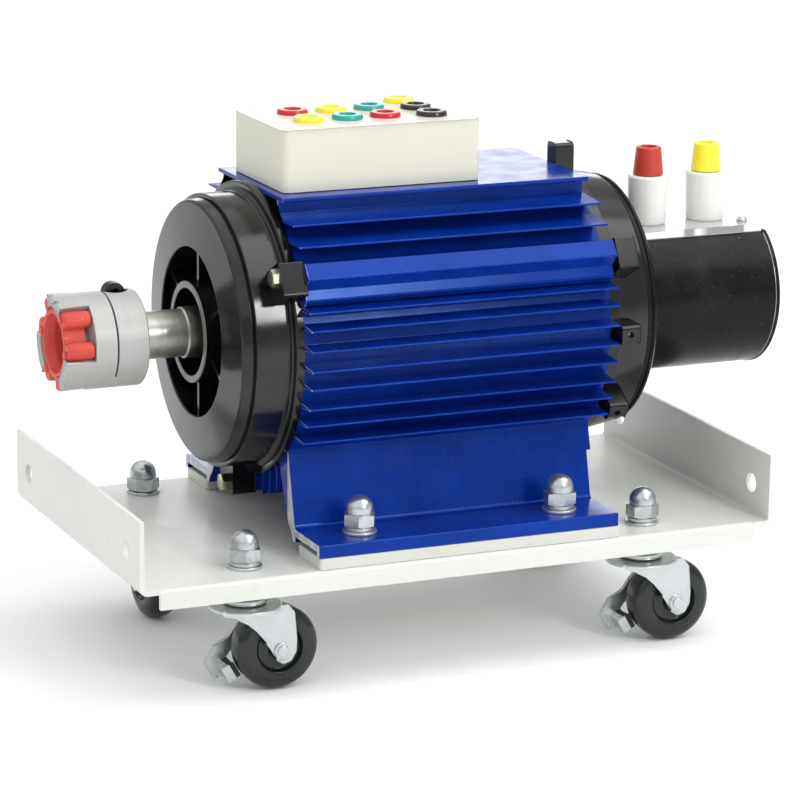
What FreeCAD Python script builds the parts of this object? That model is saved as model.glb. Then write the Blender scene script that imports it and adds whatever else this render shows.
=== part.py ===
import FreeCAD, Part
import Sketcher
import math, os
from FreeCAD import Vector as V, Placement, Rotation

# Demonstration electric motor on a four-caster sheet-metal tray.
# Axes: X along the shaft from the drive end to the tacho end, Z up, floor at z = 0.
# Shapes are drawn from the outer face of the drive-end tray flange (x), the shaft
# centre plane (y) and either the shaft axis or the tray's top face (z).

doc = FreeCAD.newDocument("DemoMotor")
sheet = doc.addObject("Spreadsheet::Sheet", "dims")

CELLS = [
    ("origin_x", 210.8), ("plate_z", 73.0), ("axis_z", 192.0),
    ("tray_len", 400.0), ("tray_width", 220.0), ("tray_t", 3.0), ("flange_rise", 40.3),
    ("lip_drop", 12.1), ("lip_start", 12.45), ("bend_out", 5.0), ("bend_in", 2.0),
    ("flange_hole_r", 6.0), ("flange_hole_y", 87.5), ("flange_hole_z", 18.0),
    ("m10_hole_r", 5.25), ("caster_x1", 72.0), ("caster_x2", 325.1), ("caster_y", 85.5),
    ("foot_x1", 140.6), ("foot_x2", 267.7), ("foot_y", 90.5),
    ("bar_in", 74.5), ("bar_out", 108.7), ("bar_t", 7.0), ("bar_x1", 109.0), ("bar_x2", 299.0),
    ("house_x1", 108.2), ("house_x2", 301.5), ("leg_x2", 297.6), ("leg_step_z", -77.0), ("house_r", 85.0), ("bore_r", 77.5),
    ("fin_t", 2.4), ("deck_top", 85.5), ("deck_half", 51.4), ("foot_hole_r", 5.5),
    ("lug_rho", 98.3), ("screw_rho", 92.5), ("screw_r", 3.0), ("tie_hole_r", 3.2),
    ("shield_face_x", 74.4), ("shield_inner_x", 71.4), ("shield_r", 76.4), ("drum_r", 80.0), ("rim_r", 86.0), ("spigot_r", 77.4),
    ("recess_r", 49.6), ("recess_x", 92.0), ("boss_r", 29.8), ("boss_in", 25.6), ("boss_x", 69.5),
    ("brg_out", 31.0), ("brg_in", 15.0), ("brg1_x", 94.5), ("brg2_x", 300.0), ("brg_w", 16.0),
    ("shaft_r", 14.0), ("seat_r", 15.0), ("core_seat_r", 18.0), ("tail_r", 12.0), ("wall_bore", 16.5),
    ("core_r", 50.3), ("gap_r", 50.8), ("core_x1", 130.0), ("core_x2", 270.0),
    ("hub_x1", 4.3), ("hub_x2", 36.8), ("hub_r", 28.0), ("jaw_x", -12.4), ("ring_x", -12.3), ("pip_x", -13.5),
    ("tube_r", 46.8), ("tube_in", 42.5), ("tube_x1", 338.0), ("cap_x1", 433.0), ("cap_x2", 435.1),
    ("flat_z", 38.6), ("pane_t", 4.8), ("pane_half", 25.5),
    ("post_x1", 367.2), ("post_x2", 406.7), ("post_h", 30.0), ("stud_r", 3.2),
    ("cap_gap", 0.3), ("cap_bore", 3.25), ("plug_r", 2.0),
    ("box_x1", 113.5), ("box_x2", 237.2), ("box_half", 39.3), ("box_z1", 204.9), ("box_z2", 241.3),
    ("box_wall", 3.0), ("box_corner", 4.0), ("pad_t", 0.4),
    ("flange_ring_r", 9.1), ("socket_body_r", 6.0), ("sleeve_r", 3.0),
    ("wheel_r", 25.0), ("wheel_w", 19.0), ("wheel_z", -48.0), ("trail", 18.0), ("axle_r", 3.0),
    ("wheel_bore", 3.05), ("leg_out", 13.0), ("leg_t", 2.0), ("stem_r", 5.0), ("swivel_bore", 5.05),
    ("race_r", 13.0), ("fork_r", 21.5), ("pivot_x", 10.0), ("pivot_z", -36.0), ("pivot_r", 2.5),
    ("lever_bore", 2.55), ("lever_t", 2.0),
    ("nut_af", 17.0), ("nut_hex_h", 8.0), ("nut_h", 18.0), ("dome_r", 8.0), ("washer_r", 10.0),
    ("washer_t", 2.0), ("spring_r", 8.6), ("spring_t", 2.2), ("tray_under", -3.0),
]
D = {}
for i, (name, value) in enumerate(CELLS):
    sheet.set("A%d" % (i + 1), name)
    sheet.set("B%d" % (i + 1), "%g" % value)
    sheet.setAlias("B%d" % (i + 1), name)
    D[name] = value
doc.recompute()


# A number that remembers the spreadsheet expression it came from.
class Dim(float):
    def __new__(cls, value, text):
        obj = float.__new__(cls, value)
        obj.text = text
        return obj

    def __add__(self, other):
        return Dim(float(self) + float(other), "(%s + %s)" % (self.text, as_text(other)))

    def __radd__(self, other):
        return Dim(float(self) + float(other), "(%s + %s)" % (as_text(other), self.text))

    def __sub__(self, other):
        return Dim(float(self) - float(other), "(%s - %s)" % (self.text, as_text(other)))

    def __rsub__(self, other):
        return Dim(float(other) - float(self), "(%s - %s)" % (as_text(other), self.text))

    def __mul__(self, other):
        return Dim(float(self) * float(other), "(%s * %s)" % (self.text, as_text(other)))

    def __neg__(self):
        return Dim(-float(self), "(0 - %s)" % self.text)


def as_text(value):
    return value.text if isinstance(value, Dim) else "%.6g" % float(value)


def d(name):
    return Dim(D[name], "dims." + name)


def bind(obj, prop, value):
    if isinstance(value, Dim):
        obj.setExpression(prop, value.text)


# ---------------------------------------------------------------- helpers
EXPORT = []


def place(obj, x=None, y=None, z=None):
    obj.setExpression("Placement.Base.x", as_text(-d("origin_x") if x is None else x))
    if y is not None:
        obj.setExpression("Placement.Base.y", as_text(y))
    obj.setExpression("Placement.Base.z", as_text(d("axis_z") if z is None else z))


def body(name, z=None, x=None, y=None, export=True):
    b = doc.addObject("PartDesign::Body", name)
    b.Label = name
    place(b, x, y, z)
    if export:
        EXPORT.append(b)
    return b


def origin_plane(b, role):
    for f in b.Origin.OriginFeatures:
        if f.Role == role:
            return f
    raise RuntimeError("no plane " + role)


def sketch(b, name, role, offset=0.0):
    sk = b.newObject("Sketcher::SketchObject", name)
    sk.AttachmentSupport = [(origin_plane(b, role), "")]
    sk.MapMode = "FlatFace"
    if isinstance(offset, Dim) or offset:
        sk.AttachmentOffset = Placement(V(0, 0, float(offset)), Rotation())
        if isinstance(offset, Dim):
            sk.setExpression("AttachmentOffset.Base.z", offset.text)
    return sk


# Constraints are gathered per sketch and added together when the sketch is used.
PENDING = {}


def hold(sk, constraint, value=None):
    PENDING.setdefault(sk.Name, []).append((constraint, value))


def settle(sk):
    items = PENDING.pop(sk.Name, [])
    if not items:
        return
    start = sk.ConstraintCount
    sk.addConstraint([c for c, value in items])
    for i, (c, value) in enumerate(items):
        if isinstance(value, Dim):
            sk.setExpression("Constraints[%d]" % (start + i), value.text)


def pin_point(sk, geo, pos, p):
    for axis in (0, 1):
        value = p[axis]
        if abs(float(value)) < 1e-9:
            hold(sk, Sketcher.Constraint("PointOnObject", geo, pos, -2 if axis == 0 else -1))
        else:
            kind = "DistanceX" if axis == 0 else "DistanceY"
            hold(sk, Sketcher.Constraint(kind, -1, 1, geo, pos, float(value)), value)


# Closed outline; a vertex may carry a third number, its corner radius.
def poly(sk, pts):
    n = len(pts)
    nodes = []
    for i in range(n):
        p = pts[i]
        if len(p) < 3 or p[2] <= 0:
            nodes.append([(p[0], p[1])])
            continue
        a, c = pts[i - 1], pts[(i + 1) % n]
        P = V(float(p[0]), float(p[1]), 0)
        ua = (V(float(a[0]), float(a[1]), 0) - P)
        uc = (V(float(c[0]), float(c[1]), 0) - P)
        la, lc = ua.Length, uc.Length
        ua.normalize()
        uc.normalize()
        ang = ua.getAngle(uc)
        if ang > math.pi - 0.02 or ang < 0.02:
            nodes.append([(p[0], p[1])])
            continue
        r = p[2]
        t = r / math.tan(ang / 2)
        lim = 0.49 * min(la, lc)
        if t > lim:
            t = lim
            r = t * math.tan(ang / 2)
        bis = ua + uc
        bis.normalize()
        C = P + bis * (r / math.sin(ang / 2))
        A, B = P + ua * t, P + uc * t
        nodes.append([(A.x, A.y), (B.x, B.y), (C, r)])
    ids = []
    for i in range(n):
        nd, nx = nodes[i], nodes[(i + 1) % n]
        if len(nd) == 3:
            (ax, ay), (bx, by), (C, r) = nd
            a0 = math.atan2(ay - C.y, ax - C.x)
            a1 = math.atan2(by - C.y, bx - C.x)
            turn = (a1 - a0 + math.pi) % (2 * math.pi) - math.pi
            circ = Part.Circle(C, V(0, 0, 1), r)
            if turn > 0:
                g = sk.addGeometry(Part.ArcOfCircle(circ, a0, a0 + turn), False)
                ids.append((g, 1, 2, "arc", nd))
            else:
                g = sk.addGeometry(Part.ArcOfCircle(circ, a1, a1 - turn), False)
                ids.append((g, 2, 1, "arc", nd))
        s, e = nd[1] if len(nd) == 3 else nd[0], nx[0]
        if math.hypot(float(s[0]) - float(e[0]), float(s[1]) - float(e[1])) > 1e-6:
            g = sk.addGeometry(Part.LineSegment(V(float(s[0]), float(s[1]), 0), V(float(e[0]), float(e[1]), 0)), False)
            ids.append((g, 1, 2, "line", (s, e)))
    m = len(ids)
    for i in range(m):
        g, st, en, kind, info = ids[i]
        h, hs, he, hk, hinfo = ids[(i + 1) % m]
        hold(sk, Sketcher.Constraint("Coincident", g, en, h, hs))
    for g, st, en, kind, info in ids:
        if kind == "line":
            pin_point(sk, g, st, info[0])
    for i in range(m):
        g, st, en, kind, info = ids[i]
        if kind == "arc":
            hold(sk, Sketcher.Constraint("Radius", g, info[2][1]))
            pin_point(sk, g, st, info[0])


def circle(sk, cx, cy, r):
    g = sk.addGeometry(Part.Circle(V(float(cx), float(cy), 0), V(0, 0, 1), float(r)), False)
    hold(sk, Sketcher.Constraint("Radius", g, float(r)), r)
    if abs(float(cx)) < 1e-9 and abs(float(cy)) < 1e-9:
        hold(sk, Sketcher.Constraint("Coincident", g, 3, -1, 1))
    else:
        pin_point(sk, g, 3, (cx, cy))


# Ring sector between two radii and two angles (degrees).
def sector(sk, r0, r1, a0, a1):
    t0, t1 = math.radians(a0), math.radians(a1)
    P = [(r0 * math.cos(t0), r0 * math.sin(t0)), (r1 * math.cos(t0), r1 * math.sin(t0)),
         (r1 * math.cos(t1), r1 * math.sin(t1)), (r0 * math.cos(t1), r0 * math.sin(t1))]
    g0 = sk.addGeometry(Part.LineSegment(V(P[0][0], P[0][1], 0), V(P[1][0], P[1][1], 0)), False)
    g1 = sk.addGeometry(Part.ArcOfCircle(Part.Circle(V(0, 0, 0), V(0, 0, 1), r1), t0, t1), False)
    g2 = sk.addGeometry(Part.LineSegment(V(P[2][0], P[2][1], 0), V(P[3][0], P[3][1], 0)), False)
    g3 = sk.addGeometry(Part.ArcOfCircle(Part.Circle(V(0, 0, 0), V(0, 0, 1), r0), t0, t1), False)
    for a, pa, b_, pb in ((g0, 2, g1, 1), (g1, 2, g2, 1), (g2, 2, g3, 2), (g3, 1, g0, 1)):
        hold(sk, Sketcher.Constraint("Coincident", a, pa, b_, pb))
    pin_point(sk, g0, 1, P[0])
    pin_point(sk, g0, 2, P[1])
    pin_point(sk, g2, 1, P[2])
    pin_point(sk, g2, 2, P[3])


def pad(b, sk, name, length, mid=False):
    settle(sk)
    p = b.newObject("PartDesign::Pad", name)
    p.Profile = sk
    p.Length = float(length)
    bind(p, "Length", length)
    p.Midplane = mid
    return p


def pocket(b, sk, name, length=None, mid=False, rev=False):
    settle(sk)
    p = b.newObject("PartDesign::Pocket", name)
    p.Profile = sk
    if length is None:
        p.Type = 1
    else:
        p.Length = float(length)
        bind(p, "Length", length)
    p.Midplane = mid
    p.Reversed = rev
    return p


def revolve(b, sk, name, axis="H_Axis"):
    settle(sk)
    r = b.newObject("PartDesign::Revolution", name)
    r.Profile = sk
    r.ReferenceAxis = (sk, [axis])
    r.Angle = 360
    return r


# Body of revolution about the shaft axis from an (x, r) outline.
def turned(name, pts, export=True):
    b = body(name, export=export)
    sk = sketch(b, name + "_outline", "XZ_Plane")
    poly(sk, pts)
    revolve(b, sk, name + "_turn")
    return b


# Body of revolution about the vertical through the body's own origin, from an (r, z) outline.
def turned_z(name, pts, x=0.0, y=None, z=0.0, export=True):
    b = body(name, x=x, y=y, z=z, export=export)
    sk = sketch(b, name + "_outline", "XZ_Plane")
    poly(sk, pts)
    revolve(b, sk, name + "_turn", "V_Axis")
    return b


# Several placed copies of one master, kept as one node.
def copies(name, master, spots):
    links = []
    for i, (x, y, z, rot) in enumerate(spots):
        l = doc.addObject("App::Link", "%s_copy%d" % (name, i + 1))
        l.LinkedObject = master
        l.LinkTransform = False
        l.Placement = Placement(V(float(x), float(y), float(z)), rot or Rotation())
        for prop, value in (("Placement.Base.x", x), ("Placement.Base.y", y), ("Placement.Base.z", z)):
            bind(l, prop, value)
        links.append(l)
    c = doc.addObject("Part::Compound", name)
    c.Links = links
    c.Label = name
    EXPORT.append(c)
    return c


def mirror_y(pts):
    out = [((-p[0] if isinstance(p[0], Dim) else -float(p[0])),) + tuple(p[1:]) for p in pts]
    return out[::-1]


def polar(rho, deg):
    a = math.radians(deg)
    return (-rho * math.cos(a), rho * math.sin(a))


OX = d("origin_x")
PZ = d("plate_z")
AZ = d("axis_z")

# ---------------------------------------------------------------- tray
b = body("base_plate", z=PZ)
sk = sketch(b, "tray_section", "XZ_Plane")
L, T, RISE = d("tray_len"), d("tray_t"), d("flange_rise")
poly(sk, [(0, RISE), (T, RISE), (T, 0, 2.0), (L - T, 0, 2.0), (L - T, RISE), (L, RISE), (L, -T, 5.0), (0, -T, 5.0)])
pad(b, sk, "tray_fold", d("tray_width"), True)
# relief where the side lips are folded down: the web edge is replaced by a bend
W2 = d("tray_width") * 0.5
for side in (-1, 1):
    sk = sketch(b, "lip_relief_%s" % ("a" if side < 0 else "b"), "YZ_Plane", d("lip_start"))
    y0 = W2 * side
    y1 = (W2 - 5.0) * side
    poly(sk, [(y1, 0.5), (y1, -3.5), (y0 + 0.5 * side, -3.5), (y0 + 0.5 * side, 0.5)])
    pocket(b, sk, sk.Name + "_cut", d("tray_len") - d("lip_start") * 2.0, rev=True)
    sk = sketch(b, "lip_%s" % ("a" if side < 0 else "b"), "YZ_Plane", d("lip_start"))
    drop = -d("lip_drop")
    pts = [(y1, 0), (y0, 0, 5.0), (y0, drop), ((W2 - T) * side, drop), ((W2 - T) * side, -T, 2.0), (y1, -T)]
    poly(sk, pts)
    pad(b, sk, sk.Name + "_fold", d("tray_len") - d("lip_start") * 2.0)
sk = sketch(b, "tray_holes", "XY_Plane")
for x in ("caster_x1", "caster_x2"):
    for s in (-1, 1):
        circle(sk, d(x), d("caster_y") * s, d("m10_hole_r"))
for x in ("foot_x1", "foot_x2"):
    for s in (-1, 1):
        circle(sk, d(x), d("foot_y") * s, d("m10_hole_r"))
pocket(b, sk, "tray_drill", mid=True)
sk = sketch(b, "flange_holes", "YZ_Plane")
for s in (-1, 1):
    circle(sk, d("flange_hole_y") * s, d("flange_hole_z"), d("flange_hole_r"))
pocket(b, sk, "flange_drill", mid=True)

b = body("spacer_bars", z=PZ)
sk = sketch(b, "bar_outline", "XY_Plane")
for s in (1, -1):
    pts = [(d("bar_x1"), d("bar_in") * s, 2), (d("bar_x2"), d("bar_in") * s, 2), (d("bar_x2"), d("bar_out") * s, 2), (d("bar_x1"), d("bar_out") * s, 2)]
    poly(sk, pts)
pad(b, sk, "bar_solid", d("bar_t"))
sk = sketch(b, "bar_holes", "XY_Plane")
for x in ("foot_x1", "foot_x2"):
    for s in (-1, 1):
        circle(sk, d(x), d("foot_y") * s, d("m10_hole_r"))
pocket(b, sk, "bar_drill", mid=True)

# ---------------------------------------------------------------- stator housing
b = body("stator_housing")
HL = d("house_x2") - d("house_x1")
H1 = d("house_x1")
FT = d("fin_t")
sk = sketch(b, "barrel_section", "YZ_Plane", H1)
circle(sk, 0, 0, d("house_r"))
circle(sk, 0, 0, d("bore_r"))
pad(b, sk, "barrel", HL)
sk = sketch(b, "fin_section", "YZ_Plane", H1)
ROOT = 81.0
FINS = [(27.2, 94.1), (17.1, 96.5), (5.5, 97.8), (-6.0, 97.8), (-16.7, 96.6), (-28.9, 93.6), (-39.5, 89.7), (-50.8, 83.8), (61.9, 78.5), (72.4, 68.0)]
for z, tip in FINS:
    y_in = math.sqrt(ROOT ** 2 - (abs(z) + 1.2) ** 2)
    for s in (-1, 1):
        rise = 0.55 + (tip - y_in) * 0.09
        pts = [(s * y_in, z - FT * 0.5), (s * tip, z - 0.55, 0.45), (s * tip, z + 0.55, 0.45), (s * y_in, z + rise)]
        poly(sk, pts)
for y, tip in ((20.2, -96.3), (31.3, -93.3), (42.4, -88.8)):
    z_in = -math.sqrt(ROOT ** 2 - (y + 1.2) ** 2)
    for s in (-1, 1):
        yy = s * y
        poly(sk, [(yy - 1.5, z_in), (yy - 0.6, tip, 0.5), (yy + 0.6, tip, 0.5), (yy + 1.5, z_in)])
for s in (-1, 1):
    z_in = math.sqrt(ROOT ** 2 - 44.0 ** 2)
    poly(sk, [(s * 40.6, z_in), (s * 40.6, 84.0), (s * 43.4, 84.0), (s * 43.4, z_in)])
pad(b, sk, "fins", HL)
sk = sketch(b, "deck_section", "YZ_Plane", H1)
DT = d("deck_top")
poly(sk, [(-d("deck_half"), DT - 2.6, 0.8), (-d("deck_half"), DT, 0.8), (d("deck_half"), DT, 0.8), (d("deck_half"), DT - 2.6, 0.8), (43.4, DT - 2.6), (9, 82.0), (-9, 82.0), (-43.4, DT - 2.6)])
pad(b, sk, "deck", HL)
sk = sketch(b, "boss_section", "YZ_Plane", H1)
boss = [(-64, 52), (-67.5, 51.0), (-85.0, 54.2, 0.8), (-91.9, 46.0, 0.8), (-84.4, 42.2, 1.0), (-84.4, 37.0, 0.6), (-88.6, 33.0, 1.0), (-85.0, 29.6, 0.8), (-75, 29.6)]
poly(sk, boss)
poly(sk, mirror_y(boss))
poly(sk, [(-9, -80), (-9, -98, 2), (9, -98, 2), (9, -80)])
pad(b, sk, "tie_bosses", HL)
sk = sketch(b, "leg_section", "YZ_Plane", H1)
leg = [(-60, -56), (-61, -62.5), (-71.5, -104.2, 3), (-108.7, -104.2, 1), (-108.7, -112, 0.8), (-105, -112, 0.8), (-105, -108.7), (-72.4, -108.7), (-72.4, -112, 0.6),
       (-68.6, -112, 0.6), (-66.2, -107.7), (-62.3, -104), (-57.6, -96.2), (-52.8, -85.5), (-46, -69)]
poly(sk, leg)
poly(sk, mirror_y(leg))
pad(b, sk, "legs", d("leg_x2") - d("house_x1"))
# the upper part of each leg runs a little further back than its foot
sk = sketch(b, "leg_shoulder_section", "YZ_Plane", d("leg_x2"))
LSZ = d("leg_step_z")
for s in (1, -1):
    shoulder = [(-60, -56), (-61, -62.5), (-64.65, LSZ), (-49.4, LSZ), (-46, -69)]
    poly(sk, shoulder if s > 0 else mirror_y(shoulder))
pad(b, sk, "leg_shoulders", 2.7)
sk = sketch(b, "foot_holes", "XY_Plane", -100.0)
for x in ("foot_x1", "foot_x2"):
    for s in (-1, 1):
        circle(sk, d(x), d("foot_y") * s, d("foot_hole_r"))
pocket(b, sk, "foot_drill", 20.0)
sk = sketch(b, "tie_holes", "YZ_Plane", d("house_x1"))
for a in (30, -90, 150):
    y, z = polar(D["screw_rho"], a)
    circle(sk, y, z, d("screw_r"))
pocket(b, sk, "tie_drill", 18.0, rev=True)

# ---------------------------------------------------------------- stator pack
b = body("stator_core")
sk = sketch(b, "core_ring", "YZ_Plane", d("core_x1"))
circle(sk, 0, 0, d("bore_r"))
circle(sk, 0, 0, d("gap_r"))
pad(b, sk, "core_stack", d("core_x2") - d("core_x1"))
sk = sketch(b, "core_slot", "YZ_Plane", d("core_x1"))
poly(sk, [(50, -1.2), (53, -1.2), (53.5, -3.2), (66, -4.6), (66, 4.6), (53.5, 3.2), (53, 1.2), (50, 1.2)])
slot = pocket(b, sk, "core_slot_cut", rev=True)
pat = b.newObject("PartDesign::PolarPattern", "core_slots")
pat.Originals = [slot]
pat.Axis = (sk, ["N_Axis"])
pat.Angle = 360
pat.Occurrences = 24
b.Tip = pat

b = body("stator_windings")
sk = sketch(b, "winding_outline", "XZ_Plane")
C1, C2 = d("core_x1"), d("core_x2")
for a, e in ((C1 - 18.0, C1), (C2, C2 + 18.0)):
    poly(sk, [(a, 54, 4), (e, 54), (e, 72), (a, 72, 4)] if float(a) < 200 and float(e) <= 131 else [(a, 54), (e, 54, 4), (e, 72, 4), (a, 72)])
revolve(b, sk, "winding_turn")

# ---------------------------------------------------------------- drive-end shield
FX, RX = d("shield_face_x"), d("recess_x")
B1, BW = d("brg1_x"), d("brg_w")
b = turned("drive_end_shield", [
    (d("boss_x"), d("boss_in"), 0.4), (d("boss_x"), d("boss_r"), 0.8), (RX, d("boss_r"), 2), (RX, d("recess_r"), 2),
    (d("shield_inner_x"), d("recess_r"), 1.0), (FX, d("shield_r"), 2.5), (80.6, 77.8, 0.5), (80.6, 76.9), (81.6, 76.9), (81.6, d("drum_r"), 0.6),
    (101.0, d("drum_r"), 1), (102.2, 82.5, 0.8), (103.5, 82.5), (103.5, d("rim_r"), 1.2), (d("house_x1"), d("rim_r")),
    (d("house_x1"), d("spigot_r")), (114.0, d("spigot_r"), 0.6), (114.0, 73.0), (88.0, 73.0, 3), (80.0, 69.0, 3), (80.0, 56.0, 2),
    (84.0, 53.6, 2), (97.0, 53.6, 2), (97.0, 37.5, 2), (B1 + BW, 37.5), (B1 + BW, d("brg_out")), (B1, d("brg_out")),
    (B1, d("wall_bore")), (88.0, d("wall_bore"), 0.5), (88.0, d("boss_in"), 1.0)])
sk = sketch(b, "recess_ribs", "YZ_Plane", 76.0)
for k in range(6):
    a = math.radians(30 + 60 * k)
    c, s = math.cos(a), math.sin(a)
    poly(sk, [(-c * r - s * w, s * r - c * w) for r, w in ((29.0, -0.8), (51.0, -0.8), (51.0, 0.8), (29.0, 0.8))])
pad(b, sk, "ribs", 17.0)
sk = sketch(b, "shield_lugs", "YZ_Plane", 93.5)
for a, w0, w1 in ((28.5, -9.9, 9.9), (151.5, -9.9, 9.9), (-90.0, -9.9, 9.9)):
    t = math.radians(a)
    c, s = math.cos(t), math.sin(t)
    poly(sk, [(-c * r + s * w, s * r + c * w, q) for r, w, q in ((78.0, w0, 0), (98.3, w0, 2.0), (98.3, w1, 2.0), (78.0, w1, 0))])
pad(b, sk, "lugs", d("house_x1") - 93.5)
sk = sketch(b, "shield_screw_holes", "YZ_Plane", 92.5)
for a in (30, 150, -90):
    y, z = polar(D["screw_rho"], a)
    circle(sk, y, z, d("tie_hole_r"))
pocket(b, sk, "shield_screw_drill", 16.0, rev=True)

# ---------------------------------------------------------------- rear shield and cover
B2 = d("brg2_x")
HX2 = d("house_x2")
b = turned("rear_end_shield", [
    (295.5, 73.0), (295.5, d("spigot_r"), 0.6), (HX2, d("spigot_r")), (HX2, 79.0), (303.0, 80.5, 0.4), (310.8, 80.5, 0.8), (311.2, 79.6),
    (330.8, 76.5, 1), (330.8, 60.0), (328.0, 60.0), (326.0, 30.0), (326.0, 14.0), (318.0, 14.0), (318.0, 16.5), (B2 + BW, 16.5), (B2 + BW, d("brg_out")),
    (B2, d("brg_out")), (B2, 37.5, 1), (319.0, 37.5, 2), (322.0, 62.0, 2), (320.0, 70.0, 3), (305.0, 73.0)])
sk = sketch(b, "rear_lugs", "YZ_Plane", 303.5)
for a, w0, w1 in ((28.5, -9.6, 8.8), (151.5, -8.8, 9.6), (-90.0, -8.8, 8.8)):
    t = math.radians(a)
    c, s = math.cos(t), math.sin(t)
    poly(sk, [(-c * r + s * w, s * r + c * w, q) for r, w, q in ((77.0, w0, 0), (98.3, w0, 1.5), (98.3, w1, 1.5), (77.0, w1, 0))])
pad(b, sk, "rear_lug_solid", 12.9)
sk = sketch(b, "cowl_lugs", "YZ_Plane", 304.0)
COWL = ((-0.8, 95.0), (-33.0, 95.0), (180.8, 95.0), (213.0, 95.0))
for a, rr in COWL:
    t = math.radians(a)
    c, s = math.cos(t), math.sin(t)
    poly(sk, [(-c * r + s * q, s * r + c * q, f) for r, q, f in ((77.0, -5.4, 0), (rr, -5.4, 2.5), (rr, 5.4, 2.5), (77.0, 5.4, 0))])
pad(b, sk, "cowl_lug_solid", 12.0)
sk = sketch(b, "top_lug", "YZ_Plane", 302.0)
poly(sk, [(-5.5, 77.0), (-5.5, 97.0, 2.5), (5.5, 97.0, 2.5), (5.5, 77.0)])
pad(b, sk, "top_lug_solid", 11.8)
# radial screw holes in the four side lugs
for k, (a, rr) in enumerate(COWL):
    sk = sketch(b, "cowl_hole_%d" % (k + 1), "XY_Plane")
    t = math.radians(a)
    sk.AttachmentOffset = Placement(V(0, -math.cos(t) * rr, math.sin(t) * rr), Rotation(V(1, 0, 0), 90 - a))
    circle(sk, 310.0, 0, 2.7)
    pocket(b, sk, "cowl_hole_cut_%d" % (k + 1), 7.0)

turned("rear_cover", [(330.8, 14.0), (330.8, 75.8, 0.4), (332.2, 75.8, 0.3), (332.2, 74.6), (334.6, 74.6), (334.6, 75.4, 0.3), (336.4, 75.4, 0.8), (338.0, 73.6, 0.8), (338.0, 14.0)])

# ---------------------------------------------------------------- shield screws: hex head, flange face toward the lug
m = body("hex_screw_master", x=0.0, z=0.0, export=False)
sk = sketch(m, "hex_head", "YZ_Plane")
R6 = 9.4 / math.sqrt(3.0)
poly(sk, [(R6 * math.cos(math.radians(60 * k)), R6 * math.sin(math.radians(60 * k))) for k in range(6)])
pad(m, sk, "hex_pad", 4.0)
sk = sketch(m, "shank_circle", "YZ_Plane", 4.0)
circle(sk, 0, 0, d("screw_r"))
pad(m, sk, "shank_pad", 26.0)
spots = []
for k, a in enumerate((30, 150, -90)):
    y, z = polar(D["screw_rho"], a)
    spots.append((89.5, y, z, Rotation(V(1, 0, 0), 11 + 17 * k)))
c = copies("shield_screws", m, spots)
place(c)

# radial cowl screws: short set screws sunk in the holes of the small lugs
m = body("set_screw_master", x=0.0, z=0.0, export=False)
sk = sketch(m, "set_head", "XY_Plane")
circle(sk, 0, 0, 2.6)
pad(m, sk, "set_pad", 3.5)
spots = []
for a, rr in COWL:
    t = math.radians(a)
    rs = rr - 7.0
    spots.append((310.0, -math.cos(t) * rs, math.sin(t) * rs, Rotation(V(0, 0, 1), V(0, -math.cos(t), math.sin(t)))))
c = copies("cowl_screws", m, spots)
place(c)

# ---------------------------------------------------------------- shaft line
SR, QR, KR, TR = d("shaft_r"), d("seat_r"), d("core_seat_r"), d("tail_r")
b = turned("shaft", [(1.5, 0), (1.5, SR, 1.2), (65.5, SR), (66.5, QR), (B1 + BW, QR), (B1 + BW, KR), (B2, KR), (B2, QR),
                     (B2 + BW, QR), (B2 + BW, TR), (418.0, TR, 1.0), (418.0, 0)])
sk = sketch(b, "keyway", "XY_Plane", d("shaft_r") - 4.0)
poly(sk, [(5, -4), (34, -4), (34, 4), (5, 4)])
pocket(b, sk, "keyway_cut", 8.0, rev=True)

b = body("shaft_key")
sk = sketch(b, "key_outline", "XY_Plane", d("shaft_r") - 4.0)
poly(sk, [(5, -4), (34, -4), (34, 4), (5, 4)])
pad(b, sk, "key_pad", 7.0)

b = body("rotor_core")
sk = sketch(b, "rotor_ring", "YZ_Plane", 135.0)
circle(sk, 0, 0, d("core_r"))
circle(sk, 0, 0, KR)
pad(b, sk, "rotor_stack", 130.0)
b = body("rotor_end_rings")
sk = sketch(b, "ring_outline", "XZ_Plane")
poly(sk, [(123, 30, 1), (123, 49, 2), (135, 49), (135, 30)])
poly(sk, [(265, 30), (265, 49), (277, 49, 2), (277, 30, 1)])
revolve(b, sk, "ring_turn")

b = body("bearing_inner_rings")
sk = sketch(b, "inner_outline", "XZ_Plane")
for x in (B1, B2):
    poly(sk, [(x, QR), (x + BW, QR), (x + BW, 19.5), (x + 12.0, 19.5), (x + 10.6, 18.3), (x + 5.4, 18.3), (x + 4.0, 19.5), (x, 19.5)])
revolve(b, sk, "inner_turn")
b = body("bearing_outer_rings")
sk = sketch(b, "outer_outline", "XZ_Plane")
for x in (B1, B2):
    poly(sk, [(x, 27.0), (x + 4.0, 27.0), (x + 5.4, 28.2), (x + 10.6, 28.2), (x + 12.0, 27.0), (x + BW, 27.0), (x + BW, d("brg_out")), (x, d("brg_out"))])
revolve(b, sk, "outer_turn")
ball = doc.addObject("Part::Sphere", "ball_master")
ball.Radius = 4.8
spots = []
for x in (B1 + 8.0, B2 + 8.0):
    for k in range(9):
        a = math.radians(40 * k)
        spots.append((x, 23.1 * math.cos(a), 23.1 * math.sin(a), None))
c = copies("bearing_balls", ball, spots)
place(c)

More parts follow.
